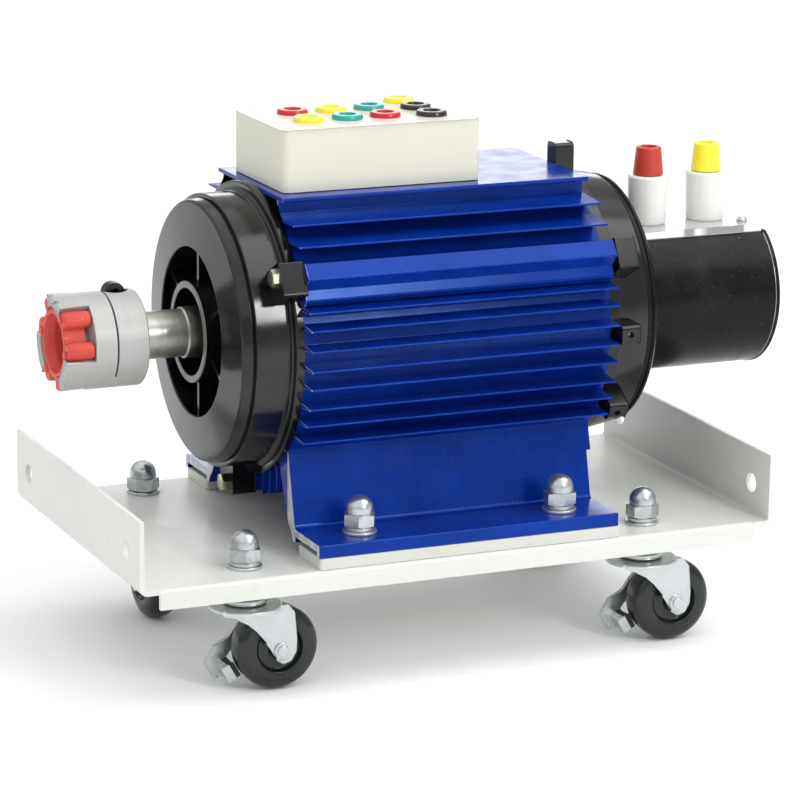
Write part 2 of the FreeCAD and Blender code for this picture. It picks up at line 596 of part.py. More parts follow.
# ---------------------------------------------------------------- coupling
b = body("coupling_hub")
sk = sketch(b, "hub_outline", "XZ_Plane")
poly(sk, [(d("hub_x1"), 14.0), (d("hub_x1"), d("hub_r")), (d("hub_x2"), d("hub_r"), 1.2), (d("hub_x2"), 14.0)])
revolve(b, sk, "hub_turn")
sk = sketch(b, "jaw_section", "YZ_Plane", d("jaw_x"))
for c0 in (83.3, -37.0, 203.0):
    c1 = 180.0 - c0
    sector(sk, 21.3, 28.0, c1 - 24.0, c1 + 24.0)
pad(b, sk, "jaws", d("hub_x1") - d("jaw_x") + 1.0)
sk = sketch(b, "hub_keyway", "YZ_Plane", d("hub_x1"))
poly(sk, [(-4, 10), (4, 10), (4, 17), (-4, 17)])
pocket(b, sk, "hub_keyway_cut", rev=True)
# the clamp screw lies across the hub in a round pocket milled from above
sk = sketch(b, "clamp_pocket", "XY_Plane", 19.7)
circle(sk, 25.6, 3.8, 8.2)
pocket(b, sk, "clamp_pocket_cut", rev=True)
sk = sketch(b, "clamp_hole", "XZ_Plane", -14.5)
circle(sk, 25.3, 26.1, 3.1)
pocket(b, sk, "clamp_hole_cut", 6.0, rev=True)
sk = sketch(b, "clamp_slit", "XZ_Plane")
poly(sk, [(16.9, -17.2), (18.1, -17.2), (18.1, 40), (16.9, 40)])
pocket(b, sk, "clamp_slit_cut", mid=True)

b = body("clamp_screw")
sk = sketch(b, "clamp_head", "XZ_Plane", -8.0)
circle(sk, 25.3, 26.1, 6.3)
pad(b, sk, "clamp_head_pad", 7.5)
sk = sketch(b, "clamp_shank", "XZ_Plane", -13.5)
circle(sk, 25.3, 26.1, 3.0)
pad(b, sk, "clamp_shank_pad", 5.5)
sk = sketch(b, "clamp_socket", "XZ_Plane", -0.5)
poly(sk, [(25.3 + 3.4 * math.cos(math.radians(60 * k)), 26.1 + 3.4 * math.sin(math.radians(60 * k))) for k in range(6)])
pocket(b, sk, "clamp_socket_cut", 4.5)

b = body("coupling_spider")
sk = sketch(b, "spider_ring", "YZ_Plane", d("ring_x"))
circle(sk, 0, 0, 20.4)
circle(sk, 0, 0, 15.6)
pad(b, sk, "spider_ring_pad", 13.3)
sk = sketch(b, "spider_lobes", "YZ_Plane", d("ring_x"))
for g in (22.7, 142.7, -97.3):
    for s in (-23.0, 23.0):
        a = 180.0 - (g + s)
        sector(sk, 20.0, 27.6, a - 12.1, a + 12.1)
pad(b, sk, "spider_lobe_pad", 16.1)
sk = sketch(b, "spider_pips", "YZ_Plane", d("pip_x"))
for g in (22.7, 142.7, -97.3):
    for s in (-29.0, 29.0):
        y, z = polar(21.6, g + s)
        circle(sk, y, z, 2.3)
pad(b, sk, "spider_pip_pad", d("ring_x") - d("pip_x"))

# ---------------------------------------------------------------- tacho
TX1, TX2 = d("tube_x1"), d("cap_x1")
b = body("tacho_housing")
sk = sketch(b, "tube_section", "YZ_Plane", TX1)
circle(sk, 0, 0, d("tube_r"))
circle(sk, 0, 0, d("tube_in"))
pad(b, sk, "tube", TX2 - TX1)
sk = sketch(b, "deck_strip", "YZ_Plane", TX1)
poly(sk, [(-24.3, 34.5), (24.3, 34.5), (24.3, d("flat_z")), (-24.3, d("flat_z"))])
pad(b, sk, "deck_strip_pad", TX2 - TX1)
sk = sketch(b, "tube_flat", "YZ_Plane", TX1 - 1.0)
poly(sk, [(-40, d("flat_z")), (40, d("flat_z")), (40, 60), (-40, 60)])
pocket(b, sk, "tube_flat_cut", rev=True)
sk = sketch(b, "stud_holes", "XY_Plane", 30.0)
for x in ("post_x1", "post_x2"):
    circle(sk, d(x), 0, d("stud_r"))
pocket(b, sk, "stud_drill", rev=True)

b = body("tacho_end_cap")
sk = sketch(b, "cap_section", "YZ_Plane", TX2)
circle(sk, 0, 0, d("tube_r"))
pad(b, sk, "cap_disc", d("cap_x2") - TX2)
sk = sketch(b, "cap_flat", "YZ_Plane", TX2 - 1.0)
poly(sk, [(-40, d("flat_z")), (40, d("flat_z")), (40, 60), (-40, 60)])
pocket(b, sk, "cap_flat_cut", rev=True)

b = body("tacho_stator")
sk = sketch(b, "tstator_section", "YZ_Plane", 350.0)
circle(sk, 0, 0, 29.8)
circle(sk, 0, 0, 24.5)
pad(b, sk, "tstator_ring", 30.0)
sk = sketch(b, "tstator_flange", "YZ_Plane", TX1)
circle(sk, 0, 0, 29.8)
circle(sk, 0, 0, 26.5)
pad(b, sk, "tstator_foot", 12.5)
b = body("tacho_rotor")
sk = sketch(b, "trotor_section", "YZ_Plane", 352.0)
circle(sk, 0, 0, 24.0)
circle(sk, 0, 0, TR)
pad(b, sk, "trotor_ring", 26.0)

b = body("window_plate")
FZ = d("flat_z")
sk = sketch(b, "pane_outline", "XY_Plane", FZ)
PH = d("pane_half")
poly(sk, [(TX1, -PH, 1), (TX2, -PH, 1), (TX2, PH, 1), (TX1, PH, 1)])
for x in ("post_x1", "post_x2"):
    circle(sk, d(x), 0, d("stud_r"))
pad(b, sk, "pane", d("pane_t"))

m = turned_z("pan_screw_master", [(0, 0), (3.3, 0), (3.3, 1.4, 1.2), (1.6, 3.0, 1.5), (0, 3.0)], export=False)
PT = FZ + d("pane_t")
c = copies("window_screws", m, [(424.0, -16.0, PT, None), (424.0, 16.0, PT, None), (345.5, -16.0, PT, None), (345.5, 16.0, PT, None)])
place(c)

m = turned_z("post_master", [(d("stud_r"), 0), (11.0, 0), (11.6, 1.0), (12.25, 29.2, 0.4), (11.6, d("post_h"), 0.4), (d("stud_r"), d("post_h"))], export=False)
c = copies("post_bodies", m, [(d("post_x1"), 0, PT, None), (d("post_x2"), 0, PT, None)])
place(c)
m = body("stud_master", x=0.0, z=0.0, export=False)
sk = sketch(m, "stud_circle", "XY_Plane")
circle(sk, 0, 0, d("stud_r"))
pad(m, sk, "stud_pad", 56.0)
sk = sketch(m, "stud_nut", "XY_Plane")
poly(sk, [(5.4 * math.cos(math.radians(60 * k)), 5.4 * math.sin(math.radians(60 * k))) for k in range(6)])
pad(m, sk, "stud_nut_pad", 4.0)
sk = sketch(m, "stud_plug_hole", "XY_Plane", 42.0)
circle(sk, 0, 0, d("plug_r"))
pocket(m, sk, "stud_plug_drill", 14.0, rev=True)
c = copies("post_studs", m, [(d("post_x1"), 0, 30.5, None), (d("post_x2"), 0, 30.5, None)])
place(c)

# post caps turn on their studs
for nm, px in (("red_post_cap", "post_x1"), ("yellow_post_cap", "post_x2")):
    z0 = AZ + PT + d("post_h") + d("cap_gap")
    CB = d("cap_bore")
    turned_z(nm, [(CB, 0), (9.25, 0, 0.5), (7.6, 17.0, 0.8), (4.9, 17.0, 0.8), (4.9, 13.4), (CB, 13.4)],
             x=d(px) - OX, z=z0)

# ---------------------------------------------------------------- terminal box
X1, X2, BH, BZ1, BZ2, WALL = d("box_x1"), d("box_x2"), d("box_half"), d("box_z1"), d("box_z2"), d("box_wall")
b = body("terminal_box", z=PZ)
sk = sketch(b, "box_outline", "XY_Plane", BZ1)
poly(sk, [(X1, -BH, 4), (X2, -BH, 4), (X2, BH, 4), (X1, BH, 4)])
pad(b, sk, "box_block", BZ2 - BZ1)
sk = sketch(b, "box_cavity", "XY_Plane", BZ1)
poly(sk, [(X1 + WALL, -BH + WALL, 2), (X2 - WALL, -BH + WALL, 2), (X2 - WALL, BH - WALL, 2), (X1 + WALL, BH - WALL, 2)])
pocket(b, sk, "box_hollow", BZ2 - BZ1 - WALL, rev=True)
SOCKETS = {
    "red": [(139.5, 12.0), (186.7, -15.0)],
    "yellow": [(163.7, 12.0), (138.8, -15.0), (214.3, 29.0)],
    "green": [(187.9, 12.0), (162.9, -15.0)],
    "black": [(214.5, 4.5), (214.0, -20.0)],
}
ALL = [p for k in ("red", "yellow", "green", "black") for p in SOCKETS[k]]
sk = sketch(b, "socket_holes", "XY_Plane", BZ2 - 4.0)
for x, y in ALL:
    circle(sk, x, y, d("socket_body_r"))
circle(sk, 122.0, 31.0, 1.6)
pocket(b, sk, "socket_drill", rev=True)
b = body("box_floor", z=PZ)
sk = sketch(b, "floor_outline", "XY_Plane", BZ1)
poly(sk, [(X1 + WALL, -BH + WALL, 2), (X2 - WALL, -BH + WALL, 2), (X2 - WALL, BH - WALL, 2), (X1 + WALL, BH - WALL, 2)])
pad(b, sk, "floor_pad", 2.0)
b = body("box_pads", z=PZ)
sk = sketch(b, "pad_outline", "XY_Plane", BZ1 - d("pad_t"))
for x in (116.5, 217.0):
    for y in (-37.5, 27.5):
        poly(sk, [(x, y), (x + 17.0, y), (x + 17.0, y + 10.0), (x, y + 10.0)])
pad(b, sk, "pad_solid", d("pad_t"))
b = body("box_screw", z=PZ + BZ2, x=122.0 - OX, y=31.0)
sk = sketch(b, "bscrew_outline", "XZ_Plane")
poly(sk, [(0, -8), (1.6, -8), (1.6, -0.3), (0.8, -0.3), (0.8, -1.2), (0, -1.2)])
revolve(b, sk, "bscrew_turn", "V_Axis")

m = turned_z("socket_master", [(d("sleeve_r"), -17.0), (d("socket_body_r"), -17.0), (d("socket_body_r"), 0), (d("flange_ring_r"), 0), (d("flange_ring_r"), 1.2, 0.4),
                               (8.6, 2.9, 1.2), (4.9, 2.9, 0.5), (4.6, 0.5), (d("sleeve_r"), 0.5)], export=False)
for col in ("red", "yellow", "green", "black"):
    c = copies("sockets_" + col, m, [(x, y, BZ2, None) for x, y in SOCKETS[col]])
    place(c, z=PZ)
m = turned_z("contact_master", [(d("plug_r"), -17.0), (d("sleeve_r"), -17.0), (d("sleeve_r"), 2.0, 0.3), (d("plug_r"), 2.0, 0.3)], export=False)
c = copies("socket_contacts", m, [(x, y, BZ2, None) for x, y in ALL])
place(c, z=PZ)

# ---------------------------------------------------------------- nuts, washers, bolts
m = body("cap_nut_master", x=0.0, z=0.0, export=False)
sk = sketch(m, "nut_hex", "XY_Plane")
RN = D["nut_af"] / math.sqrt(3.0)
poly(sk, [(RN * math.cos(math.radians(60 * k)), RN * math.sin(math.radians(60 * k))) for k in range(6)])
pad(m, sk, "nut_hex_pad", d("nut_hex_h"))
sk = sketch(m, "nut_dome", "XZ_Plane")
NH = d("nut_h")
poly(sk, [(0, 6.0), (8.0, 6.0), (8.0, 10.6, 0.5), (7.3, 13.6, 3), (5.2, 16.6, 3), (2.4, NH, 3), (0, NH)])
revolve(m, sk, "nut_dome_turn", "V_Axis")
sk = sketch(m, "nut_thread", "XY_Plane")
circle(sk, 0, 0, d("stem_r"))
pocket(m, sk, "nut_thread_cut", 11.0, rev=True)
mw = turned_z("washer_master", [(d("m10_hole_r"), 0), (d("washer_r"), 0), (d("washer_r"), d("washer_t"), 0.4), (d("m10_hole_r"), d("washer_t"))], export=False)
ms = turned_z("lock_washer_master", [(d("m10_hole_r"), 0), (d("spring_r"), 0), (d("spring_r"), d("spring_t"), 0.3), (d("m10_hole_r"), d("spring_t"))], export=False)
FTOP = Dim(14.8, "14.8")
nuts, plain, locks = [], [], []
for k, x in enumerate(("caster_x1", "caster_x2")):
    for j, s in enumerate((-1, 1)):
        plain.append((d(x), d("caster_y") * s, 0.0, None))
        rise = d("washer_t") + d("spring_t")
        if k == 0 and s == 1:
            rise = d("washer_t")
        else:
            locks.append((d(x), d("caster_y") * s, d("washer_t"), None))
        nuts.append((d(x), d("caster_y") * s, rise, Rotation(V(0, 0, 1), 13 + 22 * k + 31 * j)))
for k, x in enumerate(("foot_x1", "foot_x2")):
    for j, s in enumerate((-1, 1)):
        plain.append((d(x), d("foot_y") * s, FTOP, None))
        locks.append((d(x), d("foot_y") * s, FTOP + d("washer_t"), None))
        nuts.append((d(x), d("foot_y") * s, FTOP + d("washer_t") + d("spring_t"), Rotation(V(0, 0, 1), 4 + 19 * k + 27 * j)))
c = copies("cap_nuts", m, nuts)
place(c, z=PZ)
c = copies("plate_washers", mw, plain)
place(c, z=PZ)
c = copies("lock_washers", ms, locks)
place(c, z=PZ)

m = body("foot_bolt_master", x=0.0, z=0.0, export=False)
sk = sketch(m, "fbolt_head", "XY_Plane", -6.4 + D["tray_under"])
poly(sk, [(RN * math.cos(math.radians(60 * k)), RN * math.sin(math.radians(60 * k))) for k in range(6)])
pad(m, sk, "fbolt_head_pad", 6.4)
sk = sketch(m, "fbolt_shank", "XY_Plane", d("tray_under"))
circle(sk, 0, 0, d("stem_r"))
pad(m, sk, "fbolt_shank_pad", 31.0)
c = copies("foot_bolts", m, [(d(x), d("foot_y") * s, 0.0, None) for x in ("foot_x1", "foot_x2") for s in (-1, 1)])
place(c, z=PZ)

# ---------------------------------------------------------------- casters
m = turned_z("stem_master", [(0, -24.2), (5.6, -24.2, 0.4), (5.6, -22.9), (d("stem_r"), -22.9), (d("stem_r"), -20.4), (d("race_r") - 1.0, -20.4), (d("race_r"), -19.4, 0.5),
                             (d("race_r"), -16.6, 1.0), (9.0, -16.0), (9.0, -9.0, 0.8), (11.0, -9.0), (11.0, -3.0), (d("stem_r"), -3.0), (d("stem_r"), 13.0, 0.6), (0, 13.0)], export=False)
c = copies("caster_stems", m, [(d(x), d("caster_y") * s, 0.0, None) for x in ("caster_x1", "caster_x2") for s in (-1, 1)])
place(c, z=PZ)

LEG = [(-17.5, -21.4), (-18, -23.2, 0.5), (-10.5, -26.4), (-3, -29.7), (3, -35), (8.5, -42.5), (11.6, -47), (15, -53.4, 2), (18.6, -56.2, 2), (23.5, -54.6, 2),
       (26.6, -49.4, 2), (27, -42), (25.5, -25.6, 2), (21.6, -21.4)]
TRL, WZ = d("trail"), d("wheel_z")


# turn is the swivel angle, in quarter turns, at which this caster stands.
def caster(tag, cx, cy, turn=0):
    X, Y = d(cx) - OX, cy
    ca, sa = ((1, 0), (0, -1))[turn]

    def stand(name, lx, lz):
        b = body(name, x=X + lx * ca, y=Y + lx * sa, z=PZ + lz)
        if turn:
            b.Placement = Placement(b.Placement.Base, Rotation(V(0, 0, 1), -90 * turn))
        return b

    # fork: dished disc, two legs, axle bolt heads are a part of their own
    b = stand("fork_" + tag, Dim(0.0, "0"), Dim(0.0, "0"))
    sk = sketch(b, "fork_disc_" + tag, "XY_Plane", -22.6)
    circle(sk, 0, 0, d("fork_r"))
    circle(sk, 0, 0, d("swivel_bore"))
    pad(b, sk, "fork_disc_pad_" + tag, 1.9)
    for nm, off in (("near", d("leg_out")), ("far", -d("leg_out") + d("leg_t"))):
        sk = sketch(b, "fork_leg_%s_%s" % (nm, tag), "XZ_Plane", off - d("leg_t"))
        poly(sk, LEG)
        circle(sk, TRL, WZ, d("axle_r"))
        pad(b, sk, "fork_leg_%s_pad_%s" % (nm, tag), d("leg_t"))
    # rivet pin that carries the brake lever on the far leg
    sk = sketch(b, "brake_pin_" + tag, "XZ_Plane", -d("leg_out"))
    circle(sk, d("pivot_x"), d("pivot_z"), d("pivot_r"))
    pad(b, sk, "brake_pin_pad_" + tag, 2.7).Reversed = True
    sk = sketch(b, "brake_pin_head_" + tag, "XZ_Plane", -d("leg_out") - 2.6)
    circle(sk, d("pivot_x"), d("pivot_z"), 4.2)
    pad(b, sk, "brake_pin_head_pad_" + tag, 1.2).Reversed = True
    # axle bolt
    b = stand("axle_" + tag, TRL, WZ)
    sk = sketch(b, "axle_outline_" + tag, "YZ_Plane")
    LO = d("leg_out")
    poly(sk, [(-LO - 2.6, 0), (-LO - 2.6, 3.4, 0.6), (-LO - 1.4, 3.6), (-LO - 1.4, 4.9, 0.3), (-LO, 4.9), (-LO, d("axle_r")), (LO, d("axle_r")), (LO, 4.9), (LO + 1.8, 4.9, 0.4), (LO + 1.8, 0)])
    revolve(b, sk, "axle_turn_" + tag)
    # wheel
    b = stand("wheel_" + tag, TRL, WZ)
    sk = sketch(b, "wheel_outline_" + tag, "YZ_Plane")
    WW, WR, WB = d("wheel_w") * 0.5, d("wheel_r"), d("wheel_bore")
    poly(sk, [(-10.6, WB), (-10.6, 6.0, 0.5), (-6.6, 6.6, 1), (-6.6, 13.2, 1), (-WW + 0.2, 14.0, 0.5), (-WW, 17.0, 2), (-WW + 1.4, 21.4, 3), (-5.4, 24.6, 3), (0, WR, 6), (5.4, 24.6, 3),
               (WW - 1.4, 21.4, 3), (WW, 17.0, 2), (WW - 0.2, 14.0, 0.5), (6.6, 13.2, 1), (6.6, 6.6, 1), (10.6, 6.0, 0.5), (10.6, WB)])
    revolve(b, sk, "wheel_turn_" + tag)
    # brake lever with its rubber shoe, turning on the rivet pin
    PX, PVZ = d("pivot_x"), d("pivot_z")
    b = stand("brake_lever_" + tag, PX, PVZ)
    sk = sketch(b, "lever_outline_" + tag, "XZ_Plane", -d("leg_out") - 0.3 - d("lever_t"))
    px, pz = D["pivot_x"], D["pivot_z"]
    pts = [(14.5, -31.5, 3), (16, -36.5, 3), (11.5, -41.5, 3), (3, -47), (-5.1, -54.7, 2), (-11.6, -61.5, 1.5), (-11.0, -68.0, 0.8), (-14.2, -68.8, 0.8), (-19.4, -58.7, 3), (-14.2, -49.8, 2), (-5.1, -45.2, 2), (0, -38, 3), (6, -31.5, 3)]
    poly(sk, [(p[0] - px, p[1] - pz) + tuple(p[2:]) for p in pts])
    circle(sk, 0, 0, d("lever_bore"))
    pad(b, sk, "lever_pad_" + tag, d("lever_t"))
    # shoe block that reaches in behind the tread
    sk = sketch(b, "shoe_outline_" + tag, "XZ_Plane", -d("leg_out") - 0.3 - 1.0)
    ang = math.radians(30)
    ux, uz = -math.cos(ang), -math.sin(ang)
    wx, wz = D["trail"] - px, D["wheel_z"] - pz
    poly(sk, [(wx + ux * r - uz * w, wz + uz * r + ux * w) for r, w in ((25.6, -4.5), (33.0, -4.5), (33.0, 4.5), (25.6, 4.5))])
    pad(b, sk, "shoe_pad_" + tag, 12.3)


for tag, cx, s in (("fl", "caster_x1", -1), ("fr", "caster_x2", -1), ("bl", "caster_x1", 1), ("br", "caster_x2", 1)):
    caster(tag, cx, d("caster_y") * s, 1 if tag == "bl" else 0)

# ---------------------------------------------------------------- checks and export
doc.recompute()
bad = []
for o in doc.Objects:
    if "Invalid" in o.State or "Error" in o.State:
        bad.append((o.Name, o.State))
for o in EXPORT:
    if o.Shape.isNull() or not o.Shape.isValid() or o.Shape.Volume <= 0:
        bad.append((o.Label, "shape"))
if bad:
    raise RuntimeError("bad objects: %s" % bad)
os.makedirs("parts", exist_ok=True)
for f in os.listdir("parts"):
    if f.endswith(".step"):
        os.remove(os.path.join("parts", f))
for o in EXPORT:
    o.Shape.exportStep(os.path.join("parts", o.Label + ".step"))
    bb = o.Shape.BoundBox
    print("%-22s solids %2d vol %10.1f  x %7.1f %7.1f  y %7.1f %7.1f  z %7.1f %7.1f" % (
        o.Label, len(o.Shape.Solids), o.Shape.Volume, bb.XMin, bb.XMax, bb.YMin, bb.YMax, bb.ZMin, bb.ZMax))
print(len(EXPORT), "nodes")
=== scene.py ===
import math

import bmesh
import bpy
from mathutils import Matrix, Vector
from mathutils.geometry import tessellate_polygon


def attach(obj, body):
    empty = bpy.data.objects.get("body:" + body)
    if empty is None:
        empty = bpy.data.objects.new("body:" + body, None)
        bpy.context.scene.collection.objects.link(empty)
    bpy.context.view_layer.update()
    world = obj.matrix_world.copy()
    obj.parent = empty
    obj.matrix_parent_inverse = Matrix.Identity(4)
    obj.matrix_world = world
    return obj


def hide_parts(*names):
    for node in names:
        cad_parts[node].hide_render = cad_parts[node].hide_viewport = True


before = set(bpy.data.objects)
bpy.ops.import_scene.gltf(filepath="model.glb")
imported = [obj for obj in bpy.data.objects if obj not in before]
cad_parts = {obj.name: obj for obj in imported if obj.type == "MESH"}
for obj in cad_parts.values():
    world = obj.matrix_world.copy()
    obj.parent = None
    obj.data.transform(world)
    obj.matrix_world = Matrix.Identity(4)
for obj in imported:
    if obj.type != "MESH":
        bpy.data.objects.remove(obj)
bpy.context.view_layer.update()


# ------------------------------------------------------------------ coordinates
# Pieces are drawn in millimetres: x from the outer face of the drive-end tray flange, y from the shaft's centre plane,
# z from the shaft axis (tz() helps with tray heights).
OX, AXZ, TRAY = 210.8, 192.0, 73.0


def W(x, y, z):
    return Vector(((x - OX) * 0.001, y * 0.001, (z + AXZ) * 0.001))


def tz(zc):
    return zc + TRAY - AXZ


# ------------------------------------------------------------------ mesh helpers
def rounded(pts, seg=5):
    out = []
    n = len(pts)
    for i in range(n):
        p = pts[i]
        if len(p) < 3 or p[2] <= 0:
            out.append((p[0], p[1]))
            continue
        P = Vector((p[0], p[1]))
        a = Vector(pts[i - 1][:2]) - P
        c = Vector(pts[(i + 1) % n][:2]) - P
        la, lc = a.length, c.length
        a.normalize()
        c.normalize()
        ang = a.angle(c)
        if ang > math.pi - 0.02 or ang < 0.02:
            out.append((p[0], p[1]))
            continue
        r = p[2]
        t = r / math.tan(ang / 2)
        lim = 0.49 * min(la, lc)
        if t > lim:
            t = lim
            r = t * math.tan(ang / 2)
        C = P + (a + c).normalized() * (r / math.sin(ang / 2))
        A, B = P + a * t, P + c * t
        a0 = math.atan2(A.y - C.y, A.x - C.x)
        a1 = math.atan2(B.y - C.y, B.x - C.x)
        turn = (a1 - a0 + math.pi) % (2 * math.pi) - math.pi
        for k in range(seg + 1):
            q = a0 + turn * k / seg
            out.append((C.x + r * math.cos(q), C.y + r * math.sin(q)))
    return out


def arc(cx, cy, r, a0, a1, n):
    return [(cx + r * math.cos(math.radians(a0 + (a1 - a0) * k / n)), cy + r * math.sin(math.radians(a0 + (a1 - a0) * k / n))) for k in range(n + 1)]


def lathe(bm, prof, axis="X", at=(0, 0, 0), n=96, mi=0, closed=True, start=0.0, world=W):
    """Closed profile turned about an axis through at. X: (x, r). Y: (y, r). Z: (r, z)."""
    rings = []
    for p in prof:
        u, r = (p[0], p[1]) if axis in "XY" else (p[1], p[0])
        ring = []
        cnt = 1 if r < 1e-6 else n
        for k in range(cnt):
            q = start + 2 * math.pi * k / n
            c, s = r * math.cos(q), r * math.sin(q)
            if axis == "X":
                co = (at[0] + u, at[1] + c, at[2] + s)
            elif axis == "Y":
                co = (at[0] + c, at[1] + u, at[2] + s)
            else:
                co = (at[0] + c, at[1] + s, at[2] + u)
            ring.append(bm.verts.new(world(*co)))
        rings.append(ring)
    m = len(rings)
    made = []
    for i in range(m if closed else m - 1):
        A, B = rings[i], rings[(i + 1) % m]
        if len(A) == 1 and len(B) == 1:
            continue
        for k in range(n):
            k2 = (k + 1) % n
            vs = [A[0]] if len(A) == 1 else [A[k], A[k2]]
            vs += [B[0]] if len(B) == 1 else [B[k2], B[k]]
            f = bm.faces.new(vs)
            f.material_index = mi
            made.append(f)
    return made


def extr(bm, loops, plane, a0, a1, mi=0, world=W, turn=None):
    """Extrudes an outline (with holes) along the normal of its plane."""
    def at(u, v, w):
        if plane == "YZ":
            co = (w, u, v)
        elif plane == "XZ":
            co = (u, w, v)
        else:
            co = (u, v, w)
        if turn:
            co = turn @ Vector(co)
        return world(*co)
    made = []
    flat = [p for lp in loops for p in lp]
    lo = [bm.verts.new(at(p[0], p[1], a0)) for p in flat]
    hi = [bm.verts.new(at(p[0], p[1], a1)) for p in flat]
    if len(loops) == 1 and convexish(loops[0]):
        made.append(bm.faces.new(lo))
        made.append(bm.faces.new(hi[::-1]))
    else:
        for t in tessellate_polygon([[Vector((p[0], p[1], 0)) for p in lp] for lp in loops]):
            try:
                made.append(bm.faces.new([lo[i] for i in t]))
                made.append(bm.faces.new([hi[i] for i in reversed(t)]))
            except ValueError:
                pass
    s = 0
    for lp in loops:
        m = len(lp)
        for i in range(m):
            j = (i + 1) % m
            made.append(bm.faces.new([lo[s + i], lo[s + j], hi[s + j], hi[s + i]]))
        s += m
    for f in made:
        f.material_index = mi
    return made


def convexish(lp):
    n = len(lp)
    sign = 0
    for i in range(n):
        a, b, c = lp[i - 1], lp[i], lp[(i + 1) % n]
        z = (b[0] - a[0]) * (c[1] - b[1]) - (b[1] - a[1]) * (c[0] - b[0])
        if abs(z) < 1e-9:
            continue
        if sign == 0:
            sign = 1 if z > 0 else -1
        elif (z > 0) != (sign > 0):
            return False
    return True


def soften(bm, width_mm, angle=38, segments=2, pick=None, clamp=False):
    bm.normal_update()
    edges = []
    for e in bm.edges:
        if len(e.link_faces) == 2 and e.calc_face_angle(0) > math.radians(angle):
            if pick is None or pick(e):
                edges.append(e)
    if edges:
        bmesh.ops.bevel(bm, geom=edges, offset=width_mm * 0.001, offset_type="OFFSET", segments=segments, profile=0.5, affect="EDGES", clamp_overlap=clamp)


def shade(bm, angle=35):
    bmesh.ops.recalc_face_normals(bm, faces=bm.faces)
    bm.normal_update()
    for f in bm.faces:
        f.smooth = True
    for e in bm.edges:
        e.smooth = not (len(e.link_faces) != 2 or e.calc_face_angle(0) > math.radians(angle))


def piece(name, bm, mats, body, nodes=(), angle=35, merge=True):
    if merge:
        bmesh.ops.remove_doubles(bm, verts=bm.verts, dist=1e-7)
    shade(bm, angle)
    me = bpy.data.meshes.new(name)
    bm.to_mesh(me)
    bm.free()
    for m in (mats if isinstance(mats, (list, tuple)) else [mats]):
        me.materials.append(m)
    o = bpy.data.objects.new(name, me)
    bpy.context.scene.collection.objects.link(o)
    # large flat faces keep their own normal next to small bevels
    wn = o.modifiers.new("flat", "WEIGHTED_NORMAL")
    wn.keep_sharp = True
    wn.weight = 50
    bpy.context.view_layer.update()
    flat = bpy.data.meshes.new_from_object(o.evaluated_get(bpy.context.evaluated_depsgraph_get()))
    o.modifiers.clear()
    o.data = flat
    bpy.data.meshes.remove(me)
    flat.name = name
    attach(o, body)
    if nodes:
        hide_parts(*nodes)
    return o


def temp(bm, name="cutter"):
    bmesh.ops.recalc_face_normals(bm, faces=bm.faces)
    me = bpy.data.meshes.new(name)
    bm.to_mesh(me)
    bm.free()
    o = bpy.data.objects.new(name, me)
    bpy.context.scene.collection.objects.link(o)
    return o


def carve(bm, cutters, op="DIFFERENCE"):
    """Boolean of bm with each cutter mesh; gives the result back as a new bmesh."""
    base = temp(bm, "carve_base")
    for c in cutters:
        m = base.modifiers.new("b", "BOOLEAN")
        m.operation = op
        m.solver = "EXACT"
        m.object = c
    bpy.context.view_layer.update()
    dg = bpy.context.evaluated_depsgraph_get()
    me = bpy.data.meshes.new_from_object(base.evaluated_get(dg))
    out = bmesh.new()
    out.from_mesh(me)
    bpy.data.meshes.remove(me)
    for o in [base] + list(cutters):
        d_ = o.data
        bpy.data.objects.remove(o)
        bpy.data.meshes.remove(d_)
    return out


def cad_copy(node, width_mm=0.0, angle=38, segments=2, dissolve=True):
    bm = bmesh.new()
    bm.from_mesh(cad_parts[node].data)
    bmesh.ops.remove_doubles(bm, verts=bm.verts, dist=2e-6)
    if dissolve:
        bmesh.ops.dissolve_limit(bm, angle_limit=math.radians(0.4), verts=bm.verts, edges=bm.edges)
    for f in bm.faces:
        f.material_index = 0
    if width_mm:
        soften(bm, width_mm, angle, segments)
    return bm


# ------------------------------------------------------------------ materials
def ramp(t, stops, inp, interp="LINEAR"):
    r = t.nodes.new("ShaderNodeValToRGB")
    r.color_ramp.interpolation = interp
    els = r.color_ramp.elements
    while len(els) < len(stops):
        els.new(0.5)
    for e, (pos, col) in zip(els, stops):
        e.position = pos
        e.color = col if len(col) == 4 else (*col, 1)
    t.links.new(inp, r.inputs["Fac"])
    return r


def noise(t, vec, scale, detail=3, rough=0.55, dist=0.0, stretch=None):
    if stretch:
        mp = t.nodes.new("ShaderNodeMapping")
        mp.inputs["Scale"].default_value = stretch
        t.links.new(vec, mp.inputs["Vector"])
        vec = mp.outputs["Vector"]
    n = t.nodes.new("ShaderNodeTexNoise")
    n.inputs["Scale"].default_value = scale
    n.inputs["Detail"].default_value = detail
    n.inputs["Roughness"].default_value = rough
    n.inputs["Distortion"].default_value = dist
    t.links.new(vec, n.inputs["Vector"])
    return n.outputs["Fac"]


def blendc(t, fac, a, b, mode="MIX"):
    m = t.nodes.new("ShaderNodeMix")
    m.data_type = "RGBA"
    m.blend_type = mode
    for sock, val in ((m.inputs["Factor"], fac), (m.inputs["A"], a), (m.inputs["B"], b)):
        if isinstance(val, (int, float)):
            sock.default_value = val
        elif isinstance(val, tuple):
            sock.default_value = (*val[:3], 1)
        else:
            t.links.new(val, sock)
    return m.outputs["Result"]


def maprange(t, v, a, b, lo, hi):
    m = t.nodes.new("ShaderNodeMapRange")
    m.inputs["From Min"].default_value = a
    m.inputs["From Max"].default_value = b
    m.inputs["To Min"].default_value = lo
    m.inputs["To Max"].default_value = hi
    t.links.new(v, m.inputs["Value"])
    return m.outputs["Result"]


